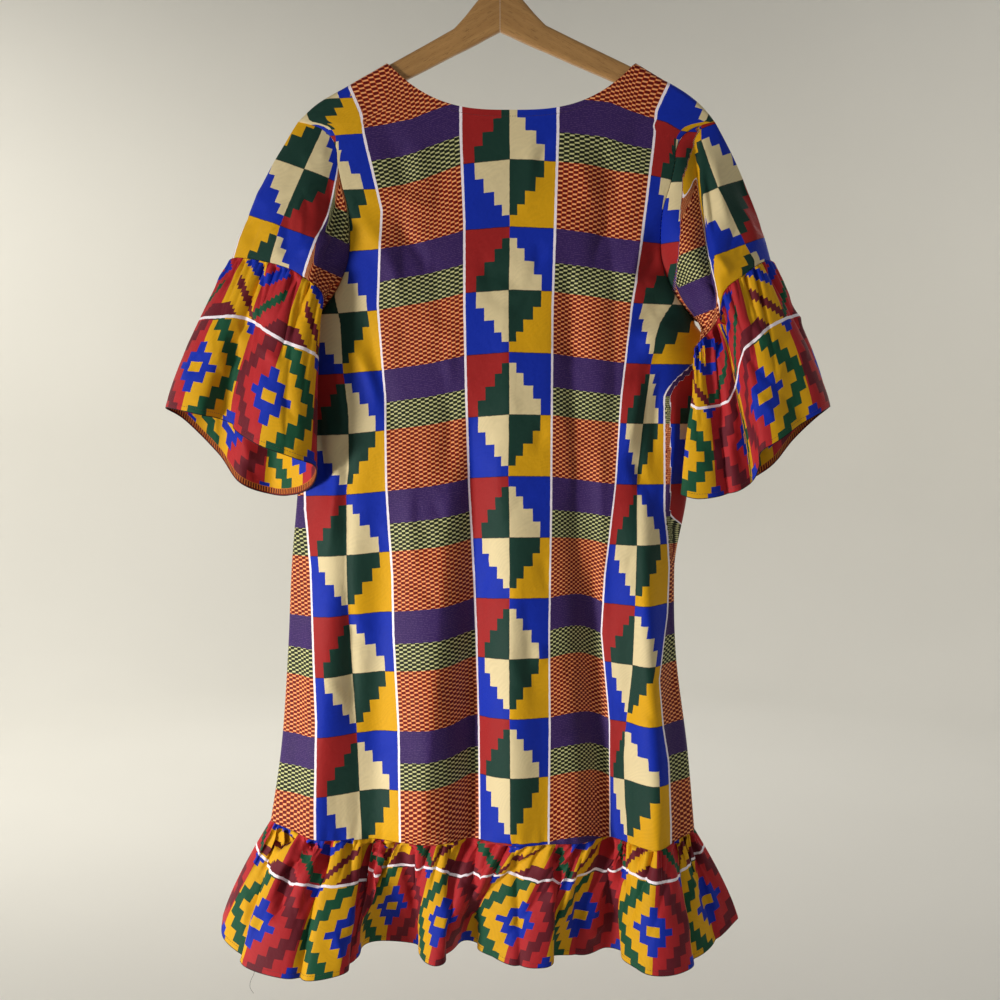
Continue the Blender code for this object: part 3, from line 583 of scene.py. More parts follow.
def long_folds(x, z, rows):
    """Depth of long folds. Each is a valley along a line, often steeper on one side than the other."""
    out = np.zeros_like(x)
    for depth, left, right, *line in rows:
        heights, places = np.array(sorted(line, key=lambda p: p[0])).T * MM
        off = x - np.interp(z, heights, places)
        run = (heights[-1] - z) / np.ptp(heights)
        taper = ease(run / 0.12) * ease((1 - run) / 0.2)
        out -= depth * MM * taper * np.exp(-(np.abs(off / (np.where(off < 0, left, right) * MM)) ** 1.35))
    return out


def scattered(seed, count, x_range, z_range, steep=75):
    """More creases of the same kind, small ones, with a fixed seed."""
    rng = np.random.default_rng(seed)
    rows = []
    for _ in range(count):
        x, z = rng.uniform(*x_range), rng.uniform(*z_range)
        turn = math.radians(rng.normal(steep, 28) * rng.choice((-1, 1)))
        length = rng.uniform(24, 70)
        dx, dz = length * math.cos(turn), length * math.sin(turn)
        depth = rng.uniform(0.7, 1.7) * rng.choice((-1, 1))
        rows.append((x, z, x + dx, z + dz, rng.uniform(4.5, 8.5), depth, rng.uniform(-4, 4)))
    return tuple(rows)


def crease_panel(which, rows):
    """Presses creases into a panel. They fade out before every edge, so the seams stay put."""
    grid, facing = hung[which], PANELS[which][0]
    x, z = grid[..., 0], grid[..., 2]
    down = down_of(grid)
    from_side = np.minimum(np.arange(grid.shape[1]), np.arange(grid.shape[1])[::-1])
    fade = ease(from_side / 9)[None] * ease(down / (24 * MM)) * ease((down[-1] - down) / (14 * MM))
    depth = creases(x, z, rows)
    if which == "back":
        depth += long_folds(x, z, LONG_FOLDS)
    # Over the wood of the hanger, whose arms slope down, the cloth can lift but not sink.
    wood_foot = -0.14 - np.abs(x) * 0.53 - 0.03
    near_wood = (np.abs(x) < 215 * MM) & (z > wood_foot)
    depth = np.where(near_wood, np.maximum(depth, 0), depth)
    # The last centimetre above the hem seam is puckered by the gathers below it.
    place = run_of(grid[-1]) / MM
    pucker = np.sin(place * 2 * math.pi / 16.5 + 1.8 * np.sin(place / 41)) + 0.5 * np.sin(place / 1.9)
    above_seam = (down[-1] - down) / MM
    swell = 1.3 * MM * pucker[None] * np.exp(-above_seam / 11) * ease(above_seam / 3)
    grid[..., 1] += facing * (depth * fade + swell * ease(from_side / 9)[None])


BODY_ZONE = ((-225, 225), (-1080, -290))  # x and z between which creases are scattered
crease_panel("back", BACK_CREASES + scattered(5, 70, *BODY_ZONE))
crease_panel("front", FRONT_CREASES + scattered(8, 80, *BODY_ZONE))
print("creases on the back:", len(BACK_CREASES), "placed and 70 scattered")

# %% [markdown]
# ## Where the print falls
#
# The cloth is printed before it is cut, so the print must follow the cloth and not the folds.
# Every piece gets a second UV map called Cloth that holds, in metres, which spot of the printed
# cloth lies there. Painting the print straight onto X and Z would stretch it down the
# folds. On the back the white lines between the strips are the guide: each one has its own
# short table of where it runs, and the cloth between two lines is shared out evenly.

# %% Cloth places of the panels
STRIP = 120.8  # width of a strip of stepped diamonds
LINE = 3.2  # width of a white line
CHECKS = 113.8  # width of a strip of checks
REPEAT = STRIP + CHECKS + 2 * LINE
LENGTH = 152.6  # one repeat down the cloth
FIRST_DIAMOND = -293.9  # height of the middle of the first diamond
WHITE = ((STRIP + LINE) / 2, REPEAT - (STRIP + LINE) / 2, REPEAT + (STRIP + LINE) / 2)
# Where the white lines run down the back: cloth place, then (height, x) in mm.
BACK_LINES = (
    (-WHITE[1],
     ((-209, -186), (-246, -172), (-356, -146), (-466, -152), (-576, -144), (-688, -143),
      (-726, -141), (-801, -136), (-877, -135), (-993, -129), (-1110, -128))),
    (-WHITE[0],
     ((-246, -48), (-356, -44), (-466, -44), (-576, -42), (-688, -39), (-801, -33), (-877, -30),
      (-993, -27), (-1110, -26))),
    (WHITE[0],
     ((-246, 71), (-356, 68), (-466, 65), (-726, 64), (-877, 62), (-993, 63), (-1110, 62))),
    (WHITE[1],
     ((-209, 208), (-246, 193), (-356, 179), (-466, 164), (-576, 152), (-688, 145), (-801, 133),
      (-877, 130), (-993, 142), (-1110, 144))),
)
# Beyond them: the middle of the outer strip, the last white line, and where the table sets in.
BACK_FAR_LINES = {
    -1: (((-477, -200), (-544, -197), (-600, -190), (-668, -191), (-699, -194), (-769, -194),
          (-845, -193), (-922, -189), (-989, -184), (-1078, -181), (-1137, -178)),
         ((-726, -249), (-801, -241), (-877, -238), (-993, -233), (-1110, -236)), (-560, 160)),
    1: (((-461, 208), (-501, 193), (-553, 187), (-618, 179), (-681, 172), (-771, 172), (-845, 170),
         (-922, 168), (-1006, 160), (-1052, 159), (-1130, 164)),
        ((-560, 206), (-618, 207), (-720, 208), (-757, 213), (-795, 216), (-856, 214), (-932, 201),
         (-993, 207), (-1038, 215), (-1124, 219)), (-500, 80)),
}
# How far the print droops away from the middle: cloth place, then mm at each of these heights.
DROOP_HEIGHTS = (-600, -380, -300, -245)
DROOP = (
    (-303, 28, 26, 30, 34), (-241, 25, 28, 30, 34), (-179, 20, 26, 29, 30), (-115, 13, 16, 18, 19),
    (-62, 4, 3, -2, -2), (0, 0, -1, -8, -8), (62, 1, 1, -5, -6), (115, 6, 7, 1, -1),
    (179, 11, 17, 11, 19), (241, 12, 18, 20, 34), (303, 12, 18, 20, 36),
)


def line_at(line, z):
    """Where a line down the cloth, given as (height, x), lies at a height."""
    return straight_curve(line, 1, z)


def back_cloth_places(grid):
    """The cloth of the back: across it the white lines lead, down it the height and the droop."""
    strip = WHITE[2] - WHITE[1]  # from one white line to the next over a strip of diamonds
    places = np.empty(grid.shape[:2] + (2,))
    places[..., 1] = FIRST_DIAMOND - grid[..., 2] / MM
    for i, row in enumerate(grid):
        run, x, z = run_of(row) / MM, row[:, 0] / MM, row[:, 2].mean() / MM
        knots = [(np.interp(line_at(line, z), x, run), place) for place, line in BACK_LINES]
        u = np.interp(run, *zip(*knots))
        for side, (middle, far, (start, span)) in BACK_FAR_LINES.items():
            at, place = knots[0 if side < 0 else -1]
            known = float(ease((start - z) / span))
            to_middle, to_far = (abs(np.interp(line_at(line, z), x, run) - at) for line in (middle, far))
            reach = strip + (max(to_far, 50) - strip) * known
            half = reach / 2
            half += (to_middle - half) * float(ease((-430 - z) / 60))
            # Under the right arm a tuck at the side seam hides most of a strip of checks.
            tuck = (CHECKS - LINE) * float(ease((-494 - z) / 24) * ease((z + 800) / 80)) * (side > 0)
            # From the last line outwards: half a strip, a strip, its white line, then the tuck.
            on_dress = (0, half, reach, reach + 4, reach + 7, reach + 300)
            on_cloth = (0, WHITE[2] - REPEAT, strip, strip + 4, strip + 4 + 3 + tuck, strip + 4 + 296 + tuck)
            beyond = side * (run - at) > 0
            u[beyond] = place + side * np.interp(side * (run[beyond] - at), on_dress, on_cloth)
        places[i, :, 0] = u
        height = row[:, 2] / MM
        level = np.interp(height, DROOP_HEIGHTS, range(len(DROOP_HEIGHTS)))
        for k in range(len(DROOP_HEIGHTS)):
            drop = straight_curve(DROOP, 1 + k, u)
            places[i, :, 1] -= drop * np.maximum(1 - np.abs(level - k), 0)
        # Over the left shoulder a tuck takes up some of the outer strip, the hem seam takes a
        # little, and between the two lines right of the middle the rows arch down.
        places[i, :, 1] -= 0.75 * np.maximum(height + 263, 0) * (u < -WHITE[1])
        places[i, :, 1] -= 9 * ease((-height - 1075) / 60)
        arch = np.sin(np.pi * np.clip((u - WHITE[0]) / (WHITE[1] - WHITE[0]), 0, 1))
        places[i, :, 1] += 9 * arch * ease((-height - 700) / 160)
    return places * MM


def front_cloth_places(grid):
    """The front is cut from the same cloth, a little lower. Its print runs the other way in X."""
    run = run_of(grid)
    middle = np.array([np.interp(DRESS_X, row[:, 0], r) for row, r in zip(grid, run)])
    return np.stack([middle[:, None] - run, (FIRST_DIAMOND + 34) * MM - grid[..., 2]], axis=-1)


cloth_places = {"back": back_cloth_places(hung["back"]), "front": front_cloth_places(hung["front"])}
print("cloth across the back at its rows in mm:")
print(np.round(np.ptp(cloth_places["back"][::44, :, 0], axis=1) / MM))

# %% [markdown]
# ## Cloth shells
#
# Cloth has two sides and an edge that can be seen, so each piece is a thin closed shell: the
# surface moved outwards by half the cloth's thickness, the same surface moved inwards, and a
# narrow rim between them. A Solidify modifier would do nearly this. Doing it by hand keeps the
# rims exactly on their seams, makes turned hems thicker, and gives each side its own room in
# the bake map.

# %% Shells
THIN = 0.30 * MM  # half the thickness of one layer of cloth
TURNED = 0.62 * MM  # the same where an edge is turned under
TILE_MARGIN = 0.03  # bare border of a tile of the bake map, as a share of the tile
TILE_RIM = 0.012  # how far a rim reaches into that border


def grid_normals(grid, closed):
    """Unit normals of a grid of points, rows first. A closed grid wraps round its columns."""
    if closed:
        across = np.roll(grid, -1, axis=1) - np.roll(grid, 1, axis=1)
    else:
        across = np.gradient(grid, axis=1)
    down = np.gradient(grid, axis=0)
    return unit(np.cross(across, down))


def outward(grid):
    """+1 where the normals of a closed grid point out of the tube, -1 where they point in."""
    normals = grid_normals(grid, True)
    middle = grid.mean(axis=1, keepdims=True)
    return 1.0 if ((grid - middle) * normals).sum() > 0 else -1.0


def strips(count, parts):
    """Splits count columns into equal runs, as (first, last) column lines."""
    ends = np.round(np.linspace(0, count, parts + 1)).astype(int)
    return list(zip(ends[:-1], ends[1:]))


def shell(name, grid, normals, half, places, finish, parts=1, wide=2):
    """A closed shell. places has one more column than the grid if the piece is a tube.
    Its bake map lies in tiles, wide of them side by side: first the outside, then the inside."""
    rows, cols = grid.shape[:2]
    tube = places.shape[1] > cols
    spans = places.shape[1] - 1
    half = np.broadcast_to(half, (rows, cols))[..., None]
    points = np.concatenate([grid + normals * half, grid - normals * half]).reshape(-1, 3)
    layer = rows * cols

    whole = wrapped(grid) if tube else grid
    across, down = run_of(whole).mean(axis=0), down_of(whole).mean(axis=1)
    tiles = 2 * parts
    tall = math.ceil(tiles / wide)
    faces, cloth_map, bake_map = [], [], []
    i_all, j_all = np.meshgrid(np.arange(rows - 1), np.arange(spans), indexing="ij")
    corners = ((0, 0), (0, 1), (1, 1), (1, 0))
    for side in (0, 1):
        for part, (first, last) in enumerate(strips(spans, parts)):
            tile = side * parts + part
            origin = np.array([tile % wide, tile // wide])
            pick = (j_all >= first) & (j_all < last)
            i, j = i_all[pick], j_all[pick]

            def bake(ii, jj, push=(0, 0)):
                a = (across[jj] - across[first]) / (across[last] - across[first])
                b = 1 - down[ii] / down[-1]
                spot = np.stack([a, b], axis=-1) * (1 - 2 * TILE_MARGIN) + TILE_MARGIN
                spot += np.array(push) * TILE_RIM
                return (spot + origin) / (wide, tall)

            order = corners if side == 0 else corners[::-1]
            faces.append(np.stack([(i + p) * cols + (j + q) % cols + side * layer for p, q in order], axis=1))
            cloth_map.append(np.stack([places[i + p, j + q] for p, q in order], axis=1))
            bake_map.append(np.stack([bake(i + p, j + q) for p, q in order], axis=1))
            if side:
                continue
            # The rims: along the top and the bottom, and down both sides of an open piece.
            j = np.arange(first, last)
            top, low = 0 * j, 0 * j + rows - 1
            edges = [(top, j, top, j + 1, (0, 1)), (low, j + 1, low, j, (0, -1))]
            i = np.arange(rows - 1)
            if not tube and first == 0:
                edges.append((i + 1, 0 * i, i, 0 * i, (-1, 0)))
            if not tube and last == spans:
                edges.append((i, 0 * i + spans, i + 1, 0 * i + spans, (1, 0)))
            for i0, j0, i1, j1, push in edges:
                a, b = i0 * cols + j0 % cols, i1 * cols + j1 % cols
                faces.append(np.stack([b, a, a + layer, b + layer], axis=1))
                p, q = places[i0, j0], places[i1, j1]
                cloth_map.append(np.stack([q, p, p, q], axis=1))
                near, far = (bake(i0, j0), bake(i1, j1)), (bake(i0, j0, push), bake(i1, j1, push))
                bake_map.append(np.stack([near[1], near[0], far[0], far[1]], axis=1))

    faces = np.concatenate(faces)
    mesh = bpy.data.meshes.new(name)
    mesh.vertices.add(len(points))
    mesh.vertices.foreach_set("co", points.ravel())
    mesh.loops.add(faces.size)
    mesh.loops.foreach_set("vertex_index", faces.ravel())
    mesh.polygons.add(len(faces))
    mesh.polygons.foreach_set("loop_start", np.arange(0, faces.size, 4))
    mesh.update(calc_edges=True)
    for title, values in (("OFBake", bake_map), ("Cloth", cloth_map)):
        layer_map = mesh.uv_layers.new(name=title)
        layer_map.data.foreach_set("uv", np.concatenate(values).ravel())
    inside = mesh.attributes.new("inside", "FLOAT", "POINT")
    inside.data.foreach_set("value", np.repeat([0.0, 1.0], layer))
    if mesh.validate():
        print(name, "had faces that were not valid")
    bm = bmesh.new()
    bm.from_mesh(mesh)
    if bm.calc_volume(signed=True) < 0:
        bmesh.ops.reverse_faces(bm, faces=bm.faces)
        bm.to_mesh(mesh)
    bm.free()
    obj = add_object(name, mesh, finish, 60)
    half_area = sum(face.area for face in mesh.polygons) / 2
    print(f"{name}: {2 * len(faces)} triangles, cloth area {half_area:.3f} m2")
    return obj


# %% [markdown]
# ## The print of the body
#
# Strips of stepped diamonds alternate with strips of small checks, with a white line between
# them. An image would be the usual way to put a print on cloth. Here the print is drawn by
# rules, because its diamonds are only boxes laid over each other and its checks are rows of
# rounded dots, and rules stay sharp however close the camera comes.

# %% Dyes and the Cloth map
RED = dye(160, 30, 30)
BLUE = dye(4, 42, 172)
GREEN = dye(18, 56, 46)
CREAM = dye(226, 208, 162)
YELLOW = dye(220, 164, 6)
LINE_WHITE = dye(250, 240, 250)
INK = dye(20, 14, 22)
WORN_COTTON = {"Sheen_Weight": 0.05, "Sheen_Roughness": 0.5, "Specular_IOR_Level": 0.2}
THREAD_PITCH = 0.62  # from thread to thread of the weave
WAVER = 0.9  # how far, from one side to the other, the edges of the print wander


def cloth_place(finish):
    """Where this spot lies on the printed cloth, in mm across and down, a little uneven."""
    spot = finish.node("UVMap", {"uv_map": "Cloth"}).outputs[0]
    u, v, _ = finish.split(spot)
    waver = finish.noise(spot, 160.0, 1.0) - 0.5
    return spot, u * 1000 + waver * WAVER, v * 1000 - waver * WAVER


def stepped(a, b, steps):
    """1 inside a stack of boxes of given half widths and half heights."""
    inside = None
    for wide, tall in steps:
        box = (a < wide) & (b < tall)
        inside = box if inside is None else inside | box
    return inside


def cotton(finish, spot, u, v, colour):
    """Gives a print the faded, crumpled, closely woven surface of worn cotton."""
    cloudy = finish.noise(spot, 14.0, 3.0, 0.6)  # patches that have faded more than others
    threads = (u * (2 * math.pi / THREAD_PITCH)).sine() * (v * (2 * math.pi / THREAD_PITCH)).sine()
    sway = finish.noise(spot, 22.0, 1.0)
    swirl = (u * 0.7 + v * 1.0 + sway * 46).sine() * (finish.noise(spot, 44.0, 1.0) > 0.5)
    tone = cloudy * 0.2 + 0.9 + threads * 0.03 + swirl * 0.024
    finish.drive("Base Color", finish.tint(colour, tone))
    finish.drive("Roughness", cloudy * 0.16 + 0.56)
    crumple = finish.noise(spot, 34.0, 4.0, 0.62) * 1.5 + finish.noise(spot, 120.0) * 0.28
    finish.relief(crumple + threads * 0.035, MM, 0.8)


print("cloth repeat", REPEAT, "x", LENGTH, "mm")

# %% Body print
CHECK_WIDE = CHECKS / 20  # width of one column of dots
CHECK_ROWS = 28  # dots down one column in one repeat
DOT = (6.4, 2.5)  # squares of a dot's half width and half height
DASH = (2.45, 1.82)  # half width of a dash, and how far above and below a dot it begins
# Half widths and half heights of the boxes of a diamond, as shares of the strip's and the repeat's.
STEPS = ((0.17, 0.83), (0.34, 0.67), (0.57, 0.47), (0.755, 0.26))


def checks(finish, across, rows, ground, light, dark):
    """Columns of dark rounded dots with light dashes between, every other column half a step down."""
    column = (across / CHECK_WIDE).floor()
    x = (across / CHECK_WIDE - column - 0.5) * CHECK_WIDE
    y = ((rows + (column % 2) * 0.5) % 1 - 0.5) * (LENGTH / CHECK_ROWS) + x * 0.06
    near, high = x * x / DOT[0], y * y / DOT[1]
    dot = (near * near + high * high) < 1
    dash = (abs(x) < DASH[0]) & (abs(y) > DASH[1])
    return finish.mix(dot, finish.mix(dash, ground, light), dark)


def body_print():
    """Strips of diamonds and strips of checks in turn, with a white line between them."""
    finish = Finish("print_cloth", **WORN_COTTON)
    spot, u, v = cloth_place(finish)
    across = (u + REPEAT / 2) % REPEAT - REPEAT / 2
    turn = (v / LENGTH + 0.5) % 1
    right, low = across > 0, turn > 0.5
    off, rise = abs(across) / (STRIP / 2), abs(turn - 0.5) * 2

    # The diamonds, with their four grounds and the fine dark joins between them.
    field = finish.mix(low, finish.mix(right, RED, BLUE), finish.mix(right, BLUE, YELLOW))
    diamond = finish.mix(abs(right - low), GREEN, CREAM)
    strip = finish.mix(stepped(off, rise, STEPS), field, diamond)
    joins = (abs(rise - 0.5) > 0.494) | ((off < 0.006) & (rise < 0.83))
    strip = finish.mix(joins * 0.75, strip, INK)

    # The checks, cut by a purple band with faint dashes.
    along_checks = (u - (STRIP / 2 + LINE)) % REPEAT
    rows = turn * CHECK_ROWS
    orange = checks(finish, along_checks, rows, dye(184, 66, 22), dye(246, 170, 110), dye(104, 6, 2))
    green = checks(finish, along_checks, rows, dye(84, 88, 40), dye(208, 206, 150), dye(20, 24, 16))
    dashes = (v / 2.2 % 1 < 0.42) & (finish.noise(spot, 420.0, 1.0) > 0.5)
    purple = finish.mix(dashes * 0.3, dye(54, 30, 92), dye(112, 84, 130))
    checked = finish.mix(turn > 0.5, finish.mix(turn > 0.27, purple, green), orange)

    colour = finish.mix(off > 1, strip, checked)
    lines = (off > 1) & (off < 1 + 2 * LINE / STRIP)
    colour = finish.mix(lines, colour, LINE_WHITE)
    cotton(finish, spot, u, v, colour)
    return finish


BODY_PRINT = body_print()
print("nodes in the body print:", len(BODY_PRINT.tree.nodes))

# %% [markdown]
# ## The print of the border
#
# The ruffles are cut from the border of the same cloth: big stepped diamonds inside zigzag
# rings, on a ground that is yellow on one side and red on the other. A white line runs above
# them, and over it lie stair bands and flat lozenges. The same boxes and steps draw it. Only the
# inside shows the selvedge, with its row of small ticks.

# %% Border print
BORDER_REPEAT = 139
BAND = 116  # height of the white line above the hem edge
BAND_MIDDLE = 54  # height of the middle of a diamond
STEP, ROW = 11.6, 13.0  # width and height of one step of the zigzag
BORDER_STEPS = ((31, 4.4), (19.5, 18), (7, 31))  # boxes of a big diamond
CORNER_STEPS = ((12, 6), (7, 14))  # boxes of the small half diamonds between the big ones
MAROON = dye(104, 24, 38)
BRIGHT_RED = dye(178, 36, 42)
BORDER_GREEN = dye(16, 78, 52)


def border_print():
    """The border of the cloth, with height measured up from its free edge."""
    finish = Finish("border_cloth", **WORN_COTTON)
    spot, u, height = cloth_place(finish)
    du = (u + BORDER_REPEAT / 2) % BORDER_REPEAT - BORDER_REPEAT / 2
    red_side = du > 0
    off, edge = abs(du), BORDER_REPEAT / 2 - abs(du)
    ground = finish.mix(red_side, YELLOW, BRIGHT_RED)

    # Below the white line: zigzag rings, blue diamonds and a yellow heart in each big one.
    rise = abs(height - BAND_MIDDLE)
    inner = 55 - (rise / ROW + 0.5).floor() * STEP
    ring = (off > inner) & (off < inner + 2 * STEP)
    band = finish.mix(ring, ground, finish.mix(red_side, BORDER_GREEN, MAROON))
    small = stepped(edge, BAND - height, CORNER_STEPS) | stepped(edge, height, CORNER_STEPS)
    blue = stepped(off, rise, BORDER_STEPS) | small
    band = finish.mix(blue, band, BLUE)
    band = finish.mix((off < 10) & (rise < 6.2), band, YELLOW)

    # Above it: a stair band, a stepped foot on the line, and a flat lozenge with a hollow.
    above = height - BAND
    stair = (abs(above - (39 - ((off - 22) / 6.2).floor() * 4.8)) < 6.2) & (off > 18)
    high = finish.mix(stair, ground, finish.mix(red_side, MAROON, BORDER_GREEN))
    foot = (off < 36 - (above / 4.6).floor() * 5.4) & (above < 18.4)
    high = finish.mix(foot, high, MAROON)
    lozenge = (edge / 4.2).floor() / 12 + abs(((above - 66) / 3.8 + 0.5).floor()) / 7
    high = finish.mix(lozenge < 1, high, BLUE)
    high = finish.mix(lozenge < 0.46, high, ground)

    colour = finish.mix(height > BAND, band, high)
    colour = finish.mix(abs(height - BAND) < 1.8, colour, LINE_WHITE)
    inside = Value(finish, finish.node("Attribute", {"attribute_name": "inside"}).outputs["Fac"]) > 0.5
    # Along the selvedge, on the inside alone, a row of ticks.
    ticks = (u / 3.6 % 1 < 0.5) & (height > 2.4) & (height < 8.6)
    lowest = height < 2.4
    ticked = finish.mix(ticks, dye(190, 104, 34), dye(84, 14, 14))
    selvedge = finish.mix(lowest, ticked, dye(104, 14, 14))
    colour = finish.mix(inside & (height < 9.4), colour, selvedge)
    colour = finish.mix(height < 0.9, colour, INK)
    cotton(finish, spot, u, height, colour)
    return finish


BORDER_PRINT = border_print()
print("nodes in the border print:", len(BORDER_PRINT.tree.nodes))

# %% [markdown]
# ## Front and back
#
# Each panel becomes a shell. It stops a hair short of the seams it shares, with its rims turned
# square to the seam, so that two neighbours meet in a fine dark line as sewn edges do, and never
# pass through each other. The neck edge is thicker, because it is turned under and stitched.


# %% Panels
def armhole_facing(facing):
    """Outward normals of the cloth along one half of an armhole, shoulder end first."""
    tilt = np.radians(np.interp(ABOVE, ARMHOLE_ROWS, ARMHOLE_TILT))
    return np.stack([0 * tilt, facing * np.cos(tilt), np.sin(tilt)], axis=1)


def armhole_gap():
    """How far the cloth stops short of the armhole seam, down one half of it."""
    return np.interp(ABOVE, (0, 0.58, 0.8, 1), (SEAM, SEAM, UNDERARM_SEAM, UNDERARM_SEAM))


def seam_across(tangent, seam_normals, side):
    """Directions in the cloth that cross an armhole seam, away from the middle of the dress."""
    across = unit(np.cross(tangent, seam_normals))
    return across * np.sign(side * across[:, 0])[:, None]


def side_normals(down, side):
    """Normals that point sideways, square to a side seam that runs down."""
    return unit(np.stack([-side * down[:, 2], 0 * down[:, 1], side * down[:, 0]], axis=1))


def finished_panel(grid, facing):
    """The panel stopped short of its seams, and its normals, turned square to each seam."""
    shoulder = np.where(np.abs(SHARES * reach_at(SHARES)) >= NECK_HALF - 1e-9)[0]
    top = np.gradient(grid[0], axis=0)
    up = unit(np.stack([-top[:, 2], np.zeros(len(top)), top[:, 0]], axis=1))
    grid = grid.copy()
    normals = grid_normals(grid, False)
    bottom = unit(normals[-1, 1:-1] * (1, 1, 0))
    for side, column in ((-1, 0), (1, -1)):
        down = np.gradient(grid[:, column], axis=0)
        seam_normals = armhole_facing(facing)
        across = seam_across(down[: UNDER + 1], seam_normals, side)
        grid[: UNDER + 1, column] -= across * armhole_gap()[:, None]
        grid[UNDER:, column, 1] += facing * SEAM
        grid[0, column, 1] += facing * SEAM
        normals[: UNDER + 1, column] = seam_normals * facing
        normals[UNDER + 1 :, column] = side_normals(down[UNDER + 1 :], side) * facing
    inner = shoulder[(shoulder > 0) & (shoulder < len(SHARES) - 1)]
    grid[0, inner, 1] += facing * SEAM
    normals[0, inner] = up[inner] * facing
    grid[-1, :, 2] += SEAM
    normals[-1, 1:-1] = bottom
    return grid, normals


NECK_TURNED = 8.5 * MM  # width of cloth turned under along the neck
panel_outsides = {}
for which, (facing, *_) in PANELS.items():
    grid, normals = finished_panel(hung[which], facing)
    down = down_of(grid)
    at_neck = np.abs(grid[0, :, 0] - DRESS_X) < NECK_HALF - 2 * MM
    half = np.where(at_neck[None] & (down < NECK_TURNED), TURNED, THIN)
    shell(f"{which}_panel_cloth", grid, normals, half, cloth_places[which], BODY_PRINT)
    panel_outsides[which] = (grid + normals * half[..., None] * facing, normals * facing, at_neck)

# %% [markdown]
# ## Sleeves
#
# A set-in sleeve is a short tube from the armhole to the line where the ruffle is gathered on.
# The arm of the real one is empty, so it collapses into a ridge and a valley beside the armhole.
# The tube is drawn between its two end curves, and what swells or sinks in between is read from
# a table round the arm.

# %% Sizes of the sleeves
CUFF_EVENING = 0.65  # how far the armhole's spacing has evened out at the cuff
# Ends of the sleeves in mm, once round from the outer edge over the back of the arm.
CUFF_LEFT = (
    # x, y, z
    (-335, 0, -405), (-304, -26, -409), (-268, -38, -418), (-243, -43, -430), (-217, -35, -456),
    (-246, -8, -502), (-272, 14, -488), (-303, 23, -454), (-327, 15, -420),
)
CUFF_RIGHT = (
    (339, 0, -408), (320, -25, -414), (297, -36, -430), (275, -38, -448), (268, -26, -484),
    (241, -24, -518), (268, 8, -516), (304, 22, -464), (329, 15, -423),
)
# How far the middle of a sleeve stands out: share of the way round, outwards, to the back.
SLEEVE_SWELL = (
    # share, out, back
    (0.00, 7, 0), (0.11, 4, 7), (0.22, 0, 10), (0.31, -3, 15), (0.39, 3, -8), (0.46, 9, 3), (0.54, 22, 0),
    (0.64, 12, -5), (0.78, 3, -8), (0.89, 5, -4), (1.00, 7, 0),
)
SLEEVE_ROWS = np.linspace(0, 1, 88)  # shares of the way from the armhole to the cuff
# A sleeve's print: middle of a diamond on the strip down the arm, and the strip's direction.
SLEEVE_PRINT = {-1: ((-241, -298), (-0.365, -0.931)), 1: ((267, -322), (0.365, -0.931))}
# Lines down each sleeve in mm as (height, x): the middle of its strip, then the edge of its big
# fold. After them, the cloth place on that edge and just past the fold, how far the print slips
# down there, and how much cloth the fold hides at least.
SLEEVE_LINES = {
    -1: (((-244, -218), (-298, -241), (-370, -269), (-411, -281)),
         ((-250, -195), (-306, -202), (-357, -212), (-429, -239)), 62, None, 30, 9),
    1: (((-262, 249), (-322, 267), (-394, 302), (-411, 312)),
        ((-263, 246), (-330, 250), (-389, 258), (-449, 267)), None, 67, 60, 17),
}
# On the right the print of the body runs on across the seam as far as this line.
PRINT_EDGE = (
    (-170, 262), (-249, 245), (-293, 231), (-309, 225), (-361, 221), (-400, 219), (-443, 219), (-475, 219),
)
EDGE_DROOP = ((-460, 17), (-380, 18), (-300, 20), (-245, 35))  # how far it droops there
SLEEVE_FOLDS = {
    -1: ((9, 9, 7, (-240, -202), (-267, -198), (-314, -191), (-356, -196), (-416, -209), (-480, -222)),),
    1: ((11, 14, 4, (-236, 240), (-263, 242), (-330, 246), (-389, 254), (-449, 263), (-500, 268)),),
}
SLEEVE_CREASES = {
    -1: (
        (-205, -300, -232, -400, 7, -4.2, 5), (-222, -300, -262, -392, 8, 2.4, -4),
        (-236, -262, -272, -330, 9, -1.8, 5), (-262, -330, -296, -396, 9, 2.0, 4),
        (-250, -340, -262, -420, 7, -2.4, -4), (-290, -340, -318, -390, 8, -2.0, 3),
        (-216, -372, -250, -408, 7, 2.6, 4), (-212, -420, -236, -462, 6, -2.6, 3),
        (-222, -440, -262, -482, 7, 2.6, -3),
    ),
    1: (
        (248, -268, 262, -400, 7, -5.0, 4), (262, -270, 282, -380, 8, 3.2, -4),
        (278, -280, 306, -350, 9, -2.0, 5), (292, -340, 318, -400, 8, 2.4, 4),
        (300, -300, 330, -372, 8, -2.0, -4), (252, -400, 284, -440, 6, 3.2, 4),
        (240, -430, 286, -462, 6, -3.4, -4), (236, -455, 272, -492, 6, 3.4, 4),
        (240, -486, 266, -508, 6, -2.6, 3),
    ),
}
# Ranges of x and z in which more creases are scattered over each sleeve.
SLEEVE_ZONES = {-1: ((-330, -200), (-500, -260)), 1: ((200, 330), (-500, -260))}


def coarse_places(side):
    """How places round the armhole pair up with even steps and with places round the cuff."""
    ends = np.array([-1.0, 0.0, 1.0])
    column = 0 if side < 0 else -1
    back, front = (hanging_panel(w, ends, ARMHOLE_ROWS, ())[:, column] for w in ("back", "front"))
    ring = np.concatenate([back, front[-2:0:-1], back[:1]])
    shares = shares_of(ring)
    even = np.linspace(0, 1, len(ring))
    return shares, even, shares + (even - shares) * CUFF_EVENING


print("creases on each sleeve:", [len(rows) for rows in SLEEVE_CREASES.values()])


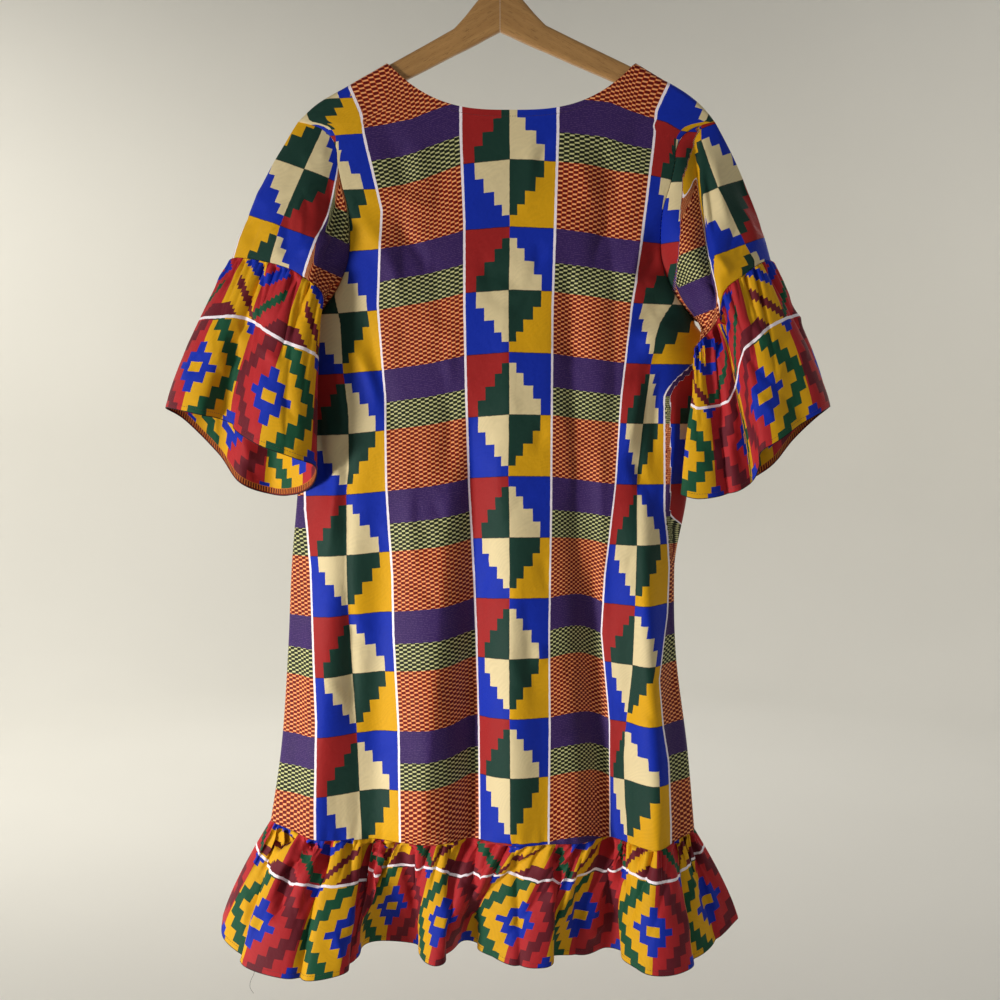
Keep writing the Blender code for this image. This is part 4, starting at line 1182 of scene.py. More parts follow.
# %% Sleeve tubes
def ring_frame(ring, leading):
    """Outward normals of a ring, and the direction that crosses its seam."""
    tangent = unit(np.roll(ring, -1, axis=0) - np.roll(ring, 1, axis=0))
    mean = unit(leading.mean(axis=0))
    normals = unit(np.cross(tangent, mean))
    middle = ring.mean(axis=0)
    if ((ring - middle) * normals).sum() < 0:
        normals = -normals
    across = unit(np.cross(normals, tangent))
    across *= np.sign(across @ mean)[:, None]
    return normals, across


def once_round(back, front):
    """Joins what runs down the back half of an armhole and down its front half into one ring."""
    return np.concatenate([back[: UNDER + 1], front[UNDER - 1 : 0 : -1]])


def crossing(run, x, z, y, line):
    """Where the back half of a ring crosses a line down the sleeve."""
    off = x - line_at(line, z)
    half = len(off) // 2
    found = np.where((off[:half] * off[1 : half + 1] <= 0) & (y[:half] < 0))[0]
    if not len(found):
        return run[np.argmin(np.abs(off[:half]))]
    k = found[0]
    return run[k] + off[k] / (off[k] - off[k + 1] + 1e-9) * (run[k + 1] - run[k])


def sleeve_cloth_places(grid, side):
    """The cloth of a sleeve laid flat: down its strip, and round the arm from that strip."""
    (x0, z0), (ax, az) = SLEEVE_PRINT[side]
    middle, fold, on_fold, past_fold, slip, hidden = SLEEVE_LINES[side]
    whole = wrapped(grid)
    x, y, z = np.moveaxis(whole, 2, 0) / MM
    down = (x - x0) * ax + (z - z0) * az
    steps = np.linalg.norm(np.diff(whole, axis=1), axis=2) / MM
    around = np.sqrt(np.maximum(steps**2 - np.diff(down, axis=1) ** 2, 0.01))
    run = np.concatenate([np.zeros((len(grid), 1)), np.cumsum(around, axis=1)], axis=1)
    for i in range(len(run)):
        a, b = (crossing(run[i], x[i], z[i], y[i], line) for line in (middle, fold))
        b = max(b, a + 2)
        on = on_fold or b - a
        # The fold is shallow at the shoulder and at its full depth a little further down.
        deep = ease((-np.interp(b, run[i], z[i]) - 282) / 22)
        past = on + hidden + max((past_fold or 0) - on - hidden, 0) * deep
        down[i] -= slip * deep * ease((run[i] - b) / 9) * ease((a + 200 - run[i]) / 60)
        run[i] = np.interp(run[i], (a - 999, a, b, b + 9, b + 999), (-999, 0, on, past, past + 990))
    # The sleeve is cut with the print turned half round.
    places = np.stack([run * (1 if side > 0 else -1), -down], axis=-1)
    if side > 0:
        # Beside the armhole it shows the print of the back, as if that ran on without a seam.
        on_body = (x < line_at(PRINT_EDGE, z)) & (np.arange(x.shape[1]) < UNDER)
        u = WHITE[1] + (x - line_at(BACK_LINES[3][1], z)) * 1.02
        v = FIRST_DIAMOND - z - straight_curve(EDGE_DROOP, 1, z)
        places[on_body] = np.stack([u, v], axis=-1)[on_body]
    return places * MM


def sleeve_tube(side, cuff):
    """Middle surface of a sleeve, from its armhole to its cuff, and what its ruffle needs."""
    column = 0 if side < 0 else -1
    armhole = once_round(hung["back"][:, column], hung["front"][:, column])
    seam_normals = once_round(armhole_facing(-1), armhole_facing(1))
    coarse, even, at_cuff = coarse_places(side)
    shares = shares_of(np.concatenate([armhole, armhole[:1]]))[:-1]
    places = np.interp(shares, coarse, at_cuff)
    curve = smooth_line(np.array(cuff) * MM, True)
    end = along(curve, places)
    out, to_back = (table_curve(SLEEVE_SWELL, k, places) * MM for k in (1, 2))
    t = SLEEVE_ROWS[:, None]
    grid = armhole[None] * (1 - t[..., None]) + end[None] * t[..., None]
    grid[..., 0] += side * out * 4 * t * (1 - t)
    grid[..., 1] -= to_back * 4 * t * (1 - t)

    turn = outward(grid)
    normals = grid_normals(grid, True)
    fade = ease(SLEEVE_ROWS / 0.14) * ease((1 - SLEEVE_ROWS) / 0.14)
    x, z = grid[..., 0], grid[..., 2]
    depth = creases(x, z, SLEEVE_CREASES[side]) + long_folds(x, z, SLEEVE_FOLDS[side])
    depth += creases(x, z, scattered(20 + side, 22, *SLEEVE_ZONES[side]))
    facing_back = ease(-normals[..., 1] * turn / 0.7)
    grid += normals * turn * (depth * fade[:, None] * (facing_back + 0.25 * (1 - facing_back)))[..., None]

    tangent = np.roll(armhole, -1, axis=0) - np.roll(armhole, 1, axis=0)
    across = seam_across(tangent, seam_normals, side)
    grid[0] += across * once_round(armhole_gap(), armhole_gap())[:, None]
    leading = grid[-1] - grid[-2]
    cuff_normals, cuff_across = ring_frame(end, leading)
    grid[-1] -= cuff_across * CUFF_SEAM
    normals = grid_normals(grid, True) * turn
    normals[0], normals[-1] = seam_normals, cuff_normals
    return grid, normals, leading, lambda p: along(curve, np.interp(p, even, at_cuff))


sleeves = {}
for side, word, cuff in ((-1, "left", CUFF_LEFT), (1, "right", CUFF_RIGHT)):
    grid, normals, leading, cuff_at = sleeve_tube(side, cuff)
    # Column 0 moves to the underarm, so that the join in the print hides there.
    grid, normals = (np.roll(a, -UNDER, axis=1) for a in (grid, normals))
    places = sleeve_cloth_places(np.roll(grid, UNDER, axis=1), side)
    whole_turn = (places[:, -1] - places[:, 0])[:, None]
    places = np.concatenate([places[:, UNDER:-1] - whole_turn, places[:, : UNDER + 1]], axis=1)
    shell(f"sleeve_{word}_cloth", grid, normals, THIN, places, BODY_PRINT, parts=2)
    sleeves[side] = (leading, cuff_at)

# %% [markdown]
# ## Gathered ruffles
#
# A ruffle is a strip of cloth nearly twice as long as the seam it is gathered into. At the
# seam the spare length stands up in tight pleats, no two alike. Within a hand's width these
# die out or run together into the few broad folds of the free edge. A regular wave looks like a
# machine part, so every pleat gets its own place, width, height and length from a seeded draw.

# %% Sizes of the ruffles
# Lower edges in mm: the sleeve ruffles once round, the hem ruffles from left to right.
BELL_LEFT = (
    # x, y, z
    (-423, 0, -592), (-398, -34, -594), (-368, -42, -600), (-348, -20, -606), (-328, -42, -618),
    (-292, -68, -636), (-250, -66, -652), (-228, -42, -664), (-236, -18, -688), (-262, 4, -702),
    (-296, 30, -704), (-334, 14, -688), (-366, 36, -652), (-406, 26, -608),
)
BELL_RIGHT = (
    (418, 0, -590), (398, -36, -596), (368, -48, -612), (340, -62, -630), (318, -60, -645),
    (322, -34, -664), (316, -22, -684), (288, -34, -698), (248, -38, -704), (227, -27, -699),
    (262, 8, -703), (304, 28, -694), (346, 14, -668), (380, 34, -634), (406, 26, -606),
)
HEM_BACK = (
    # x, y, z
    (-368, 12, -1266), (-360, -28, -1279), (-323, -68, -1293), (-255, -84, -1303), (-208, -79, -1301),
    (-180, -56, -1297), (-170, -18, -1290), (-145, -6, -1290), (-115, -18, -1291), (-95, -50, -1297),
    (-76, -56, -1298), (-59, -35, -1294), (-44, -11, -1291), (-22, -28, -1295), (17, -55, -1299),
    (58, -57, -1300), (80, -34, -1299), (112, -20, -1302), (142, -9, -1301), (164, -42, -1302),
    (188, -68, -1304), (222, -67, -1304), (254, -44, -1301), (282, -14, -1288), (316, 12, -1268),
)
HEM_FRONT = (
    (-368, 12, -1266), (-336, 44, -1284), (-292, 52, -1292), (-248, 24, -1290), (-206, 20, -1291),
    (-166, 52, -1297), (-122, 58, -1298), (-80, 28, -1294), (-36, 24, -1294), (8, 54, -1299),
    (52, 58, -1300), (92, 26, -1297), (134, 24, -1298), (172, 52, -1302), (214, 54, -1302),
    (252, 34, -1296), (284, 30, -1286), (316, 12, -1268),
)
RUFFLE_ROWS = np.linspace(0, 1, 64) ** 1.25  # closer together at the seam, where pleats are fine
HEM_GATHERS, SLEEVE_GATHERS = 31, 25
RUFFLE_TURNED = 7 * MM  # width of cloth turned under along a free edge
ruffle_edges = {}  # grid, normals, half thickness and tube or not of each, for its stitching


def gathers(places, below, count, seed, tube, fullness=1.0):
    """Depth of the narrow valleys between pleats, at places 0 to 1 along the seam and mm below it."""
    rng = np.random.default_rng(seed)
    out = np.zeros_like(below)
    groups = (
        # pleats, depth, mm in which they grow, mm in which they die out
        (count, 11.0, 4, (26, 90)), (count // 3, 8.0, 24, (90, 200)), (2 * count, 4.0, 2, (9, 30)),
    )
    for group, deep, near, reach in groups:
        # Each valley has its own place, lean, depth and length, and two sides of its own.
        for centre in (np.arange(group) + rng.uniform(-0.26, 0.26, group) + 0.5) / group:
            left, right = rng.uniform(0.14, 0.27, 2) / count * (1.9 if group < count else count / group)
            off = places[None, :] - centre - rng.normal(0, 0.22) / group * below / 60
            if tube:
                off = (off + 0.5) % 1 - 0.5
            rise = (0.14 + 0.86 * ease(below / near)) * deep * rng.uniform(0.5, 1.25)
            fall = np.abs(off / np.where(off < 0, left, right)) ** 1.3 + (below / rng.uniform(*reach)) ** 1.7
            out -= rise * np.exp(-fall)
    out -= out.mean(axis=1, keepdims=True)
    if not tube:
        out *= ease(np.minimum(places, 1 - places) * count / 1.2)[None]
    return out * fullness * MM


def ruffle_surface(seam, normals, hem, count, seed, tube, fullness=1.0):
    """Middle surface of a ruffle between its seam and its free edge."""
    t = RUFFLE_ROWS[:, None, None]
    grid = seam + (hem - seam) * (1 - (1 - t) ** 1.25)
    grid[..., 2] = seam[:, 2] + (hem[:, 2] - seam[:, 2]) * t[..., 0]
    below = t[..., 0] * np.linalg.norm(hem - seam, axis=1) / MM
    places = np.arange(len(seam)) / len(seam) if tube else np.linspace(0, 1, len(seam))
    return grid + normals * gathers(places, below, count, seed, tube, fullness)[..., None]


def above_edge(grid):
    """Length of cloth between each point of a ruffle and its free edge."""
    down = down_of(grid)
    return down[-1] - down


def ruffle_piece(name, grid, normals, u, height, parts):
    """Makes the shell of a ruffle and keeps what the stitching of its edge needs."""
    places = np.stack([np.broadcast_to(u * MM, height.shape), height], axis=-1)
    half = np.where(above_edge(grid) < RUFFLE_TURNED, TURNED, THIN)
    tube = height.shape[1] > grid.shape[1]
    ruffle_edges[name] = (grid, normals, half, tube)
    shell(name + "_cloth", grid, normals, half, places, BORDER_PRINT, parts=parts)


def soft_dents(grid, normals, seed, count, zone, folds):
    """Small dents in a ruffle, away from its seam and edge, and its long folds on the back."""
    rows = scattered(seed, count, *zone, steep=82)
    fade = (ease(RUFFLE_ROWS / 0.2) * ease((1 - RUFFLE_ROWS) / 0.12))[:, None]
    x, z = grid[..., 0], grid[..., 2]
    on_back = ease((0.15 - normals[..., 1]) / 0.4)
    depth = creases(x, z, rows) * fade + long_folds(x, z, folds) * ease(RUFFLE_ROWS / 0.05)[:, None] * on_back
    return grid + normals * depth[..., None]


print("pleats:", HEM_GATHERS, "along each half of the hem and", SLEEVE_GATHERS, "round each sleeve")

# %% Sleeve ruffles
RUFFLE_FOLDS = {
    -1: (
        (8, 6, 14, (-470, -306), (-487, -309), (-536, -319), (-585, -331), (-640, -350)),
        (6, 8, 4, (-415, -244), (-430, -247), (-488, -256), (-540, -268)),
    ),
    1: ((12, 16, 4, (-450, 268), (-497, 270), (-557, 273), (-618, 279), (-740, 292)),),
}
# Where diamonds of the border show on the back of each ruffle: x in mm, halfway up the band.
SLEEVE_DIAMONDS = {-1: (-369, -275), 1: (318,)}
# Past its big fold the right ruffle shows the cloth again from where a valley lies at this x.
SLEEVE_TUCKS = {-1: None, 1: (302, 240)}
# How much of its own length the cloth above the free edge takes: x in mm, then the share.
RUFFLE_TAKE = {
    -1: ((-400, 0.97), (-376, 0.95), (-330, 0.89), (-240, 0.88)),
    1: ((240, 1.03), (288, 1.03), (306, 0.9), (340, 0.89), (400, 0.96)),
}


def diamond_places(x_middle, arc, xs, way):
    """Cloth places along a ruffle, with a diamond at each given x and even cloth beyond them."""
    at = np.interp([x * way for x in xs], x_middle * way, arc)
    steps = np.arange(len(xs)) * BORDER_REPEAT
    u = np.interp(arc, at, steps) if len(xs) > 1 else 0 * arc
    u = np.where(arc < at[0], arc - at[0], u)
    return np.where(arc > at[-1], steps[-1] + arc - at[-1], u)


SLEEVE_COLUMNS = 336  # once round a sleeve ruffle
BACK_COLUMNS = 148  # so many of them lie on the back, from the outer edge on
RUFFLE_ZONES = {-1: ((-420, -230), (-680, -440)), 1: ((230, 410), (-690, -440))}
for side, word, bell in ((-1, "left", BELL_LEFT), (1, "right", BELL_RIGHT)):
    leading, cuff_at = sleeves[side]
    p = np.arange(SLEEVE_COLUMNS) / SLEEVE_COLUMNS
    seam = cuff_at(p)
    seam_normals, across = ring_frame(seam, leading)
    hem = along(smooth_line(np.array(bell) * MM, True), p)
    grid = ruffle_surface(seam, seam_normals, hem, SLEEVE_GATHERS, 40 + side, True, 0.72)
    turn = outward(grid)
    outside = grid_normals(grid, True) * turn
    grid = soft_dents(grid, outside, 50 + side, 26, RUFFLE_ZONES[side], RUFFLE_FOLDS[side])
    grid[0] += across * CUFF_SEAM
    normals = grid_normals(grid, True) * turn
    normals[0] = seam_normals
    closed = wrapped(grid)
    arc = run_of(closed[-1]) / MM
    middle = closed[np.argmin(np.abs(RUFFLE_ROWS - 0.6)), :BACK_COLUMNS, 0] / MM
    back_arc = arc[:BACK_COLUMNS]
    u = diamond_places(middle, back_arc, SLEEVE_DIAMONDS[side], -side)
    if SLEEVE_TUCKS[side]:
        fold, valley = (np.interp(-x * side, -side * middle, back_arc) for x in SLEEVE_TUCKS[side])
        hidden = (BORDER_REPEAT / 2 - np.interp(valley, back_arc, u)) % BORDER_REPEAT
        u = u + hidden * ease((back_arc - fold) / 6)
    u = np.concatenate([u, u[-1] + arc[BACK_COLUMNS:] - arc[BACK_COLUMNS - 1]])
    # On the front the cloth takes its own length, and comes back to the first share at the join.
    take = straight_curve(RUFFLE_TAKE[side], 1, middle)
    stops = [*range(BACK_COLUMNS), 230, 300, SLEEVE_COLUMNS]
    height = above_edge(closed) * np.interp(np.arange(SLEEVE_COLUMNS + 1), stops, [*take, 1, 1, take[0]])
    ruffle_piece(f"sleeve_ruffle_{word}", grid, normals, u * side, height, 2)

# %% Hem ruffles
HEM_COLUMNS = 480  # from side to side of a hem ruffle
HEM_FOLDS = (
    (18, 24, 5, (-1125, -252), (-1133, -256), (-1161, -298), (-1210, -318), (-1320, -345)),
    (12, 4, 16, (-1120, -244), (-1139, -249), (-1163, -258), (-1180, -273), (-1240, -290)),
    (12, 9, 5, (-1125, -223), (-1182, -225), (-1204, -236), (-1239, -241), (-1340, -258)),
    (6, 5, 8, (-1125, -195), (-1200, -190)),
    (13, 4, 16, (-1125, -177), (-1166, -171), (-1210, -177), (-1253, -180), (-1340, -188)),
    (7, 5, 7, (-1125, -154), (-1159, -154), (-1200, -159)),
    (9, 12, 4, (-1125, -112), (-1200, -113), (-1340, -112)),
    (9, 4, 12, (-1125, -66), (-1200, -64), (-1340, -62)),
    (10, 12, 4, (-1125, -33), (-1200, -32), (-1340, -38)),
    (6, 5, 8, (-1125, 16), (-1200, 20), (-1340, 26)), (11, 4, 12, (-1125, 70), (-1200, 74), (-1340, 77)),
    (6, 7, 7, (-1125, 106), (-1200, 104), (-1320, 98)),
    (12, 14, 4, (-1125, 141), (-1200, 143), (-1340, 153)),
    (6, 4, 4, (-1125, 156), (-1177, 157), (-1215, 162)),
    (12, 5, 12, (-1120, 223), (-1184, 236), (-1230, 246), (-1340, 262)),
    (7, 6, 5, (-1115, 251), (-1186, 257), (-1220, 268), (-1310, 292)),
)
# Where diamonds of the border show on the back, as for the sleeves.
HEM_DIAMONDS = (-306, -190, -140, -77, 25, 105, 194, 267)
HEM_ZONE = ((-340, 300), (-1290, -1160))  # x and z between which its dents are scattered

p = np.linspace(0, 1, HEM_COLUMNS + 1)
# Shares of the panel's width at which the seam is met, at even steps along the free edge.
stations = shares_across(np.arange(12) / 11, 1.45, turn=True)
stations = np.interp(p, np.linspace(0, 1, len(stations)), stations)
for which, hem_line in (("back", HEM_BACK), ("front", HEM_FRONT)):
    facing = PANELS[which][0]
    seam = hanging_panel(which, stations, (), (1,))[-1]
    tangent = np.gradient(seam, axis=0)
    seam_normals = unit(np.stack([-tangent[:, 1], tangent[:, 0], 0 * tangent[:, 0]], axis=1))
    seam_normals *= np.sign(seam_normals[len(seam) // 2, 1]) * facing
    hem = along(smooth_line(np.array(hem_line) * MM, False), p)
    grid = ruffle_surface(seam, seam_normals, hem, HEM_GATHERS, 60 + facing, False)
    turn = np.sign((grid_normals(grid, False)[0] * seam_normals).sum())
    fade = ease(np.minimum(p, 1 - p) * 14)[None, :, None]
    folds = HEM_FOLDS if which == "back" else ()
    dented = soft_dents(grid, grid_normals(grid, False) * turn, 70 + facing, 46, HEM_ZONE, folds)
    grid += (dented - grid) * fade
    grid[0, :, 2] -= SEAM
    grid[:, [0, -1], 1] += facing * SEAM
    normals = grid_normals(grid, False) * turn
    normals[0, 1:-1] = seam_normals[1:-1]
    for column, side in ((0, -1.0), (-1, 1.0)):
        normals[:, column] = side_normals(np.gradient(grid[:, column], axis=0), side)
    u = -run_of(grid[-1]) / MM
    if which == "back":
        middle = grid[np.argmin(np.abs(RUFFLE_ROWS - 0.62)), :, 0] / MM
        u = diamond_places(np.maximum.accumulate(middle), -u, HEM_DIAMONDS, 1)
    ruffle_piece(f"hem_ruffle_{which}", grid, normals, u, above_edge(grid), 3)

# %% [markdown]
# ## Stitching
#
# The neck edge, the sleeve edges and the hem are turned under and held by one line of machine
# stitches. A line drawn in the print would be flat. Each stitch here is a short thread that
# sinks into the cloth at both ends, laid along a path measured on the cloth itself.


# %% Stitches
def thread_finish():
    """Dark sewing thread, a little mottled."""
    finish = Finish("thread", Roughness=0.7, Sheen_Weight=0.2)
    mottled = finish.noise(finish.here(), 900.0)
    finish.drive("Base Color", finish.mix(mottled, dye(38, 20, 26), dye(70, 34, 38)))
    return finish


THREAD = thread_finish()


def end_faces(first, end, sides):
    """The two ends of a thread whose points run from first up to end."""
    return [tuple(range(first, first + sides))[::-1], tuple(range(end - sides, end))]


def stitches(name, paths, pitch=3.0, length=2.3, radius=0.24, tail=()):
    """Short threads along paths of (points, outward normals), all in one mesh.
    tail is a loose end of the same thread, as points in mm."""
    sides, points, faces = 6, [], []
    # Along a stitch, as shares of its length: how thick it is and how high it lies, in radii.
    stations = np.array([(-0.5, 0.35, -0.9), (-0.3, 0.9, 0.35), (0.3, 0.9, 0.35), (0.5, 0.35, -0.9)])
    around = angles(sides)
    for path, normals in paths:
        run = run_of(path) / MM
        at = np.arange(pitch, run[-1] - pitch, pitch)
        middle, out = read_at(path, run, at), unit(read_at(normals, run, at))
        ahead = unit(read_at(path, run, at + 0.6) - middle)
        across = unit(np.cross(out, ahead))
        for m, o, w, c in zip(middle, out, ahead, across):
            base = len(points)
            for run_at, thick, lift in stations:
                centre = m + (w * run_at * length + o * lift * radius) * MM
                points.extend(centre + circle(around, c, o) * thick * radius * MM)
            faces += ring_faces(len(stations), sides, base) + end_faces(base, len(points), sides)
    count = len(points) // (sides * len(stations))
    if tail:
        line = smooth_line(np.array(tail) * MM, False, fine=6)
        first = len(points)
        for point, way in zip(line, unit(np.gradient(line, axis=0))):
            across = unit(np.cross(way, (0.0, 1.0, 0.0)))
            points.extend(point + circle(around, across, np.cross(across, way)) * radius * MM)
        faces += ring_faces(len(line), sides, first) + end_faces(first, len(points), sides)
    print(name, "has", count, "stitches")
    return add_object(name, plain_mesh(name, points, faces), THREAD)


def line_below_edge(surface, normals, distance):
    """A path on the cloth at one distance from its first row."""
    runs = run_of(surface.swapaxes(0, 1))
    path, out = (
        np.array([read_at(grid[:, j], run, [distance])[0] for j, run in enumerate(runs)])
        for grid in (surface, normals)
    )
    return path, out


# At the left of the back hem the thread was left long where its seam ends.
LOOSE_THREAD = (
    (-308, -74.6, -1293), (-309, -76, -1299), (-313, -76, -1308), (-314, -75, -1317), (-310, -74, -1325),
)
NECK_STITCHES = 7.6 * MM  # distance of the stitches from the neck edge
EDGE_STITCHES = 6.2 * MM  # the same for the free edge of a ruffle
neck_paths = []
for which, (surface, normals, at_neck) in panel_outsides.items():
    columns = np.where(at_neck)[0][2:-2]
    neck_paths.append(line_below_edge(surface[:40, columns], normals[:40, columns], NECK_STITCHES))
stitching = {"neck_stitching": stitches("neck_stitching", neck_paths)}
for name, (grid, normals, half, tube) in ruffle_edges.items():
    surface = (grid + normals * half[..., None])[::-1]
    path, out = line_below_edge(surface[:20], normals[::-1][:20], EDGE_STITCHES)
    if not tube:
        path, out = path[2:-2], out[2:-2]
    tail = LOOSE_THREAD if name == "hem_ruffle_back" else ()
    stitching[name + "_stitching"] = stitches(name + "_stitching", [(path, out)], pitch=3.3, tail=tail)

# %% [markdown]
# ## The hanger
#
# The hanger is two arms of pale hardwood glued end to end, rounded on their edges and
# varnished, with a wire hook screwed into the top. Its solids are already right in shape but
# coarse. The arms are swept again through the same stations with many more sides, so that the
# varnish catches a clean highlight along the rounded edges.

# %% Sizes of the hanger
ARM_JOIN = 0.15 * MM  # half the glue line between the arms
LEAN = math.radians(2)  # the hanger hangs this much lower on the left
ARM = (
    # x, top, bottom, half_thickness
    (0, -79, -130, 6.5), (13, -81, -136, 6.5), (27, -92, -143, 6.5), (42, -110, -150, 6.3),
    (56, -124.5, -156, 6.0), (90, -142, -172, 5.8), (130, -162, -190, 5.8), (170, -182, -209, 5.8),
    (195, -195, -219, 5.6), (204, -201, -217, 4.6), (207, -205, -213, 3.0),
)
ARM_SQUARE = 4.5  # how square a section of an arm is
WIRE = 1.9 * MM  # radius of the hook's wire
HOOK = (
    # x, z
    (0, -78), (0, -67), (0, -57), (3.5, -49.5), (11.5, -43), (18.5, -35), (21.7, -24.5), (20.6, -13),
    (14.8, -3.8), (5.2, 1.2), (-5.2, 1.2), (-14.8, -3.8), (-20.6, -13), (-21.7, -24.5), (-19.5, -31),
)
COLLAR_R = 5.5 * MM  # radius of the collar under the hook
COLLAR_H = 2.5 * MM  # its height
COLLAR_CONE = 0.6 * MM  # height of the slope from the collar to the wire
COLLAR_LIFT = 0.4 * MM  # gap between the collar and the wood


def wood_finish():
    """Varnished pale hardwood, with its grain along the slope of each arm."""
    finish = Finish("wood", Coat_Weight=0.35, Coat_Roughness=0.25, Specular_IOR_Level=0.4)
    place = finish.here()
    x, y, z = finish.split(place)
    run = abs(x) * 0.88 - z * 0.47
    over = abs(x) * 0.47 + z * 0.88
    grain_place = finish.node("CombineXYZ", (), {0: run * 0.06, 1: over, 2: y}).outputs[0]
    rings = finish.noise(grain_place, 190.0, 4.0, 0.6)
    pores = finish.noise(grain_place, 1500.0)
    colour = finish.mix(rings, dye(196, 152, 92), dye(150, 104, 56))
    colour = finish.mix((pores > 0.62) * 0.5, colour, dye(106, 70, 36))
    cloudy = finish.noise(place, 24.0)
    finish.drive("Base Color", finish.tint(colour, cloudy * 0.3 + 0.85))
    finish.drive("Roughness", pores * 0.2 + 0.3)
    finish.relief(rings * 0.05 + pores * 0.03, MM, 0.6)
    return finish


def steel_finish():
    """Plated wire with a slightly uneven sheen."""
    finish = Finish("steel", Metallic=1.0, Base_Color=dye(214, 214, 216))
    finish.drive("Roughness", finish.noise(finish.here(), 600.0, 3.0) * 0.22 + 0.14)
    return finish


WOOD, STEEL = wood_finish(), steel_finish()


# %% Arms and hook
def lofted(name, rings, finish):
    """A closed body through rings of points, all with the same number of sides."""
    rings = np.array(rings)
    count, sides = rings.shape[:2]
    faces = ring_faces(count, sides)
    faces += [tuple(range(sides)), tuple(range((count - 1) * sides, count * sides))]
    mesh = plain_mesh(name, rings.reshape(-1, 3), faces)
    bm = bmesh.new()
    bm.from_mesh(mesh)
    bmesh.ops.recalc_face_normals(bm, faces=bm.faces)
    bm.to_mesh(mesh)
    bm.free()
    print(name, "has", len(faces), "faces")
    return add_object(name, mesh, finish, 45)


def arm_wood(side, word):
    """One arm of the hanger, swept through its stations with a squarish section."""
    stations = np.unique(np.r_[np.linspace(ARM_JOIN / MM, 195, 60), np.linspace(195, 207, 14)])
    turns = angles(48, 0.5)
    c, s = (np.sign(f) * np.abs(f) ** (2 / ARM_SQUARE) for f in (np.cos(turns), np.sin(turns)))
    rings = []
    for x in stations:
        top, bottom, half = (straight_curve(ARM, k, x) for k in (1, 2, 3))
        z = (top + bottom) / 2 + (top - bottom) / 2 * s + side * x * math.tan(LEAN)
        rings.append(np.stack([0 * c + side * x, half * c, z], axis=1) * MM)
    return lofted(f"hanger_arm_{word}_wood", rings, WOOD)


def hook_wire():
    """The collar and the bent wire of the hook, in one body."""
    base = ARM[0][1] * MM + COLLAR_LIFT
    top = base + COLLAR_H
    turns = angles(24)
    flat = [(COLLAR_R, base), (COLLAR_R, base + 0.4 * COLLAR_H)]
    flat += [(COLLAR_R * 0.96, top), (WIRE, top + COLLAR_CONE)]
    rings = [np.stack([r * np.cos(turns), r * np.sin(turns), 0 * turns + z], axis=1) for r, z in flat]
    middle = smooth_line([(x * MM, 0, z * MM) for x, z in HOOK], False, fine=5)
    middle = middle[np.argmax(middle[:, 2] > top + WIRE) :]
    tangents = unit(np.gradient(middle, axis=0))
    y_way = np.array([0.0, 1.0, 0.0])
    # Two more rings round off the end of the wire.
    middle = np.concatenate([middle] + [middle[-1:] + tangents[-1] * WIRE * step for step in (0.35, 0.7)])
    tangents = np.concatenate([tangents, tangents[-1:], tangents[-1:]])
    sizes = np.r_[np.ones(len(middle) - 2), 0.88, 0.5] * WIRE
    for point, tangent, size in zip(middle, tangents, sizes):
        rings.append(point + size * circle(turns, np.cross(y_way, tangent), y_way))
    return lofted("hanger_hook_wire", rings, STEEL)


wood = {side: arm_wood(side, word) for side, word in ((-1, "left"), (1, "right"))}
hook = hook_wire()

# %% [markdown]
# ## Riding, replacing and cloth facts
#
# Each piece rides on the one body and takes the place of its plain solid, which is hidden. A
# table lists the size each sheet of cloth was cut to, without seam allowance, and what holds it;
# nothing below uses these sizes.

# %% Tie the pieces to the frame
BACK_NODES = [f"back_panel_{a}_{b}" for a in ("upper", "middle", "lower") for b in ("left", "right")]
CLOTH = (
    # piece, flat width, flat length, flat area, what holds it
    ("back_panel", 0.62, 0.98, 0.505, ["hanger_arm_left_wood", "hanger_arm_right_wood"]),
    ("front_panel", 0.60, 0.98, 0.475, ["hanger_arm_left_wood", "hanger_arm_right_wood"]),
    ("sleeve_left", 0.42, 0.20, 0.056, ["back_panel_cloth"]),
    ("sleeve_right", 0.42, 0.20, 0.056, ["back_panel_cloth"]),
    ("sleeve_ruffle_left", 0.58, 0.19, None, ["sleeve_left_cloth"]),
    ("sleeve_ruffle_right", 0.58, 0.19, None, ["sleeve_right_cloth"]),
    ("hem_ruffle_back", 0.93, 0.166, None, ["back_panel_cloth"]),
    ("hem_ruffle_front", 0.79, 0.166, None, ["front_panel_cloth"]),
)
for name, width, length, area, holders in CLOTH:
    piece = bpy.data.objects[name + "_cloth"]
    nodes = BACK_NODES if name == "back_panel" else [name]
    slot, held = ("border_cloth", "gathered") if "ruffle" in name else ("print_cloth", "hung")
    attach(piece, "root")
    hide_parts(*nodes)
for name, piece in stitching.items():
    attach(piece, "root")
    "border_cloth" if "ruffle" in name else "print_cloth"
HARD = (
    (wood[-1], "hanger_arm_left", "wood"),
    (wood[1], "hanger_arm_right", "wood"),
    (hook, "hanger_hook", "steel"),
)
for piece, node, slot in HARD:
    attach(piece, "root")
    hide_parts(node)
print(len(CLOTH), "sheets,", len(stitching), "lines of stitching,", len(HARD), "hanger pieces")

# %% [markdown]
# ## Stage and light
#
# A pale bowl curves up from the floor all round, so there is no horizon behind the dress from
# any side. A soft lamp low on the left shapes the folds, narrow enough to miss the floor in
# front of it. A weaker one on the right keeps the far sides of the folds readable, one behind
# lights the back, and two wash the wall.


# %% Stage
FLOOR_Z = -1.56
FLOOR_RADIUS = 2.4  # of the flat floor
BOWL_ROUND = 0.9  # radius of the curve from the floor up to the wall


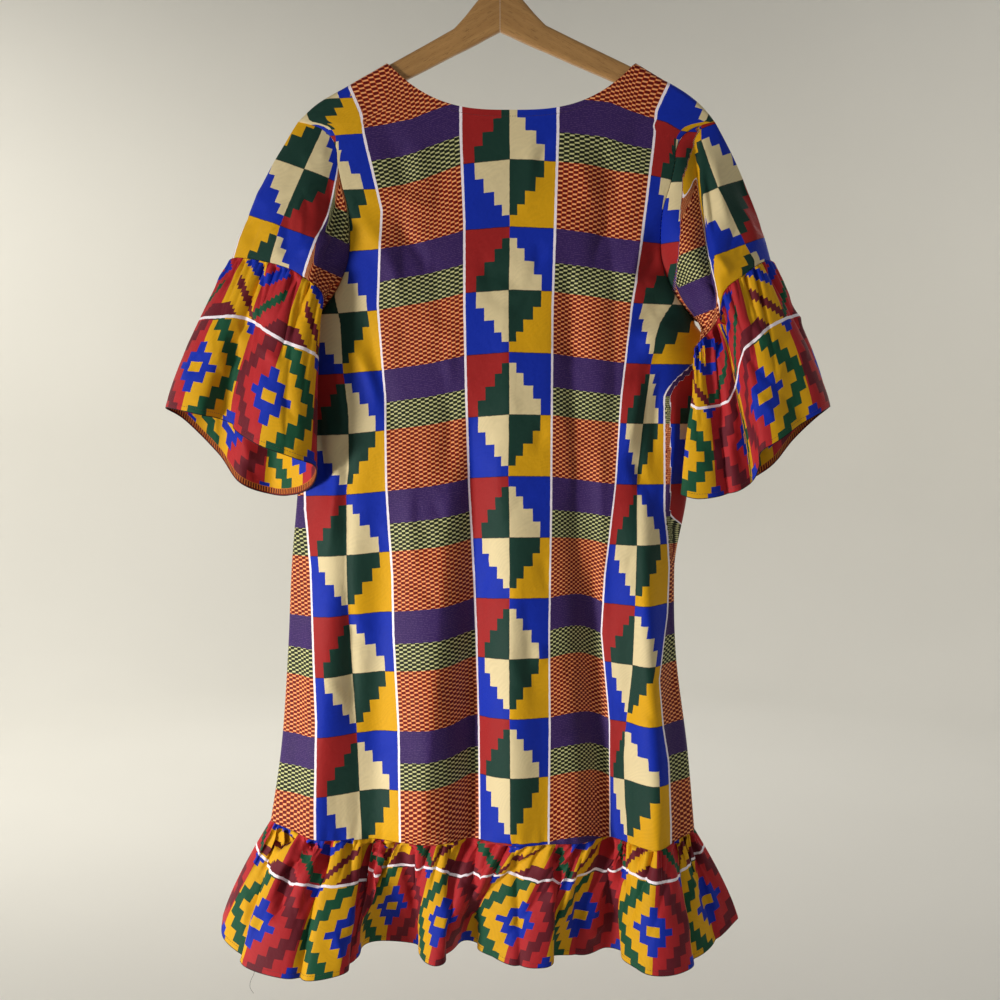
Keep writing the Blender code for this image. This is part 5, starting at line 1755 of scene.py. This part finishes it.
def pale_bowl():
    """Floor and wall in one, turned about the vertical axis."""
    finish = Finish("stage_paper", Roughness=0.9, Specular_IOR_Level=0.2)
    soft = finish.noise(finish.here(), 1.3)
    finish.drive("Base Color", finish.mix(soft, dye(228, 226, 219), dye(220, 218, 211)))
    profile = [(0.02, 0.0), (1.2, 0.0)]  # radius, height above the floor
    for a in np.radians(np.linspace(0, 88, 24)):
        profile.append((FLOOR_RADIUS + BOWL_ROUND * math.sin(a), BOWL_ROUND * (1 - math.cos(a))))
    profile.append((3.36, 3.2))
    sides = 96
    points = [(r * math.cos(a), r * math.sin(a), FLOOR_Z + h) for r, h in profile for a in angles(sides)]
    faces = ring_faces(len(profile), sides) + [tuple(range(sides))[::-1]]
    return add_object("stage", plain_mesh("stage", points, faces), finish)


pale_bowl()
print("stage floor at", FLOOR_Z, "m")


# %% Lamps and world
def lamp(name, place, aim, size, power, colour, spread=180):
    """A round soft lamp at a place, aimed at a point, with size in metres and power in watts."""
    data = bpy.data.lights.new(name, "AREA")
    data.shape = "DISK"
    data.size, data.energy, data.color = size, power, colour
    data.spread = math.radians(spread)
    obj = bpy.data.objects.new(name, data)
    obj.location = place
    way = np.array(aim, float) - np.array(place, float)
    pitch = math.atan2(np.hypot(way[0], way[1]), -way[2])
    obj.rotation_euler = (pitch, 0, math.atan2(way[1], way[0]) - math.pi / 2)
    bpy.context.scene.collection.objects.link(obj)


lamp("key", (-2.1, -1.35, -1.3), (0, 0, -0.88), 0.55, 9.8, (1.0, 0.97, 0.92), 70)
lamp("fill", (1.7, -2.0, -0.3), (0, 0, -0.8), 1.6, 3.5, (0.94, 0.96, 1.0))
lamp("behind", (1.2, 2.0, 0.6), (0, 0, -0.7), 1.4, 16, (1.0, 0.98, 0.95))
lamp("wall wash left", (-1.5, 1.0, 0.3), (-1.3, 2.5, -1.3), 1.8, 36, (1.0, 0.97, 0.9))
lamp("wall wash right", (1.6, 1.0, 1.0), (1.2, 2.5, -1.3), 1.8, 8, (0.98, 0.98, 0.96))
world = bpy.data.worlds.new("studio")
world.use_nodes = True
world.node_tree.nodes["Background"].inputs["Color"].default_value = (0.95, 0.96, 1.0, 1)
world.node_tree.nodes["Background"].inputs["Strength"].default_value = 0.2
bpy.context.scene.world = world
bpy.context.scene.view_settings.view_transform = "Standard"
print("five lamps and a pale world")
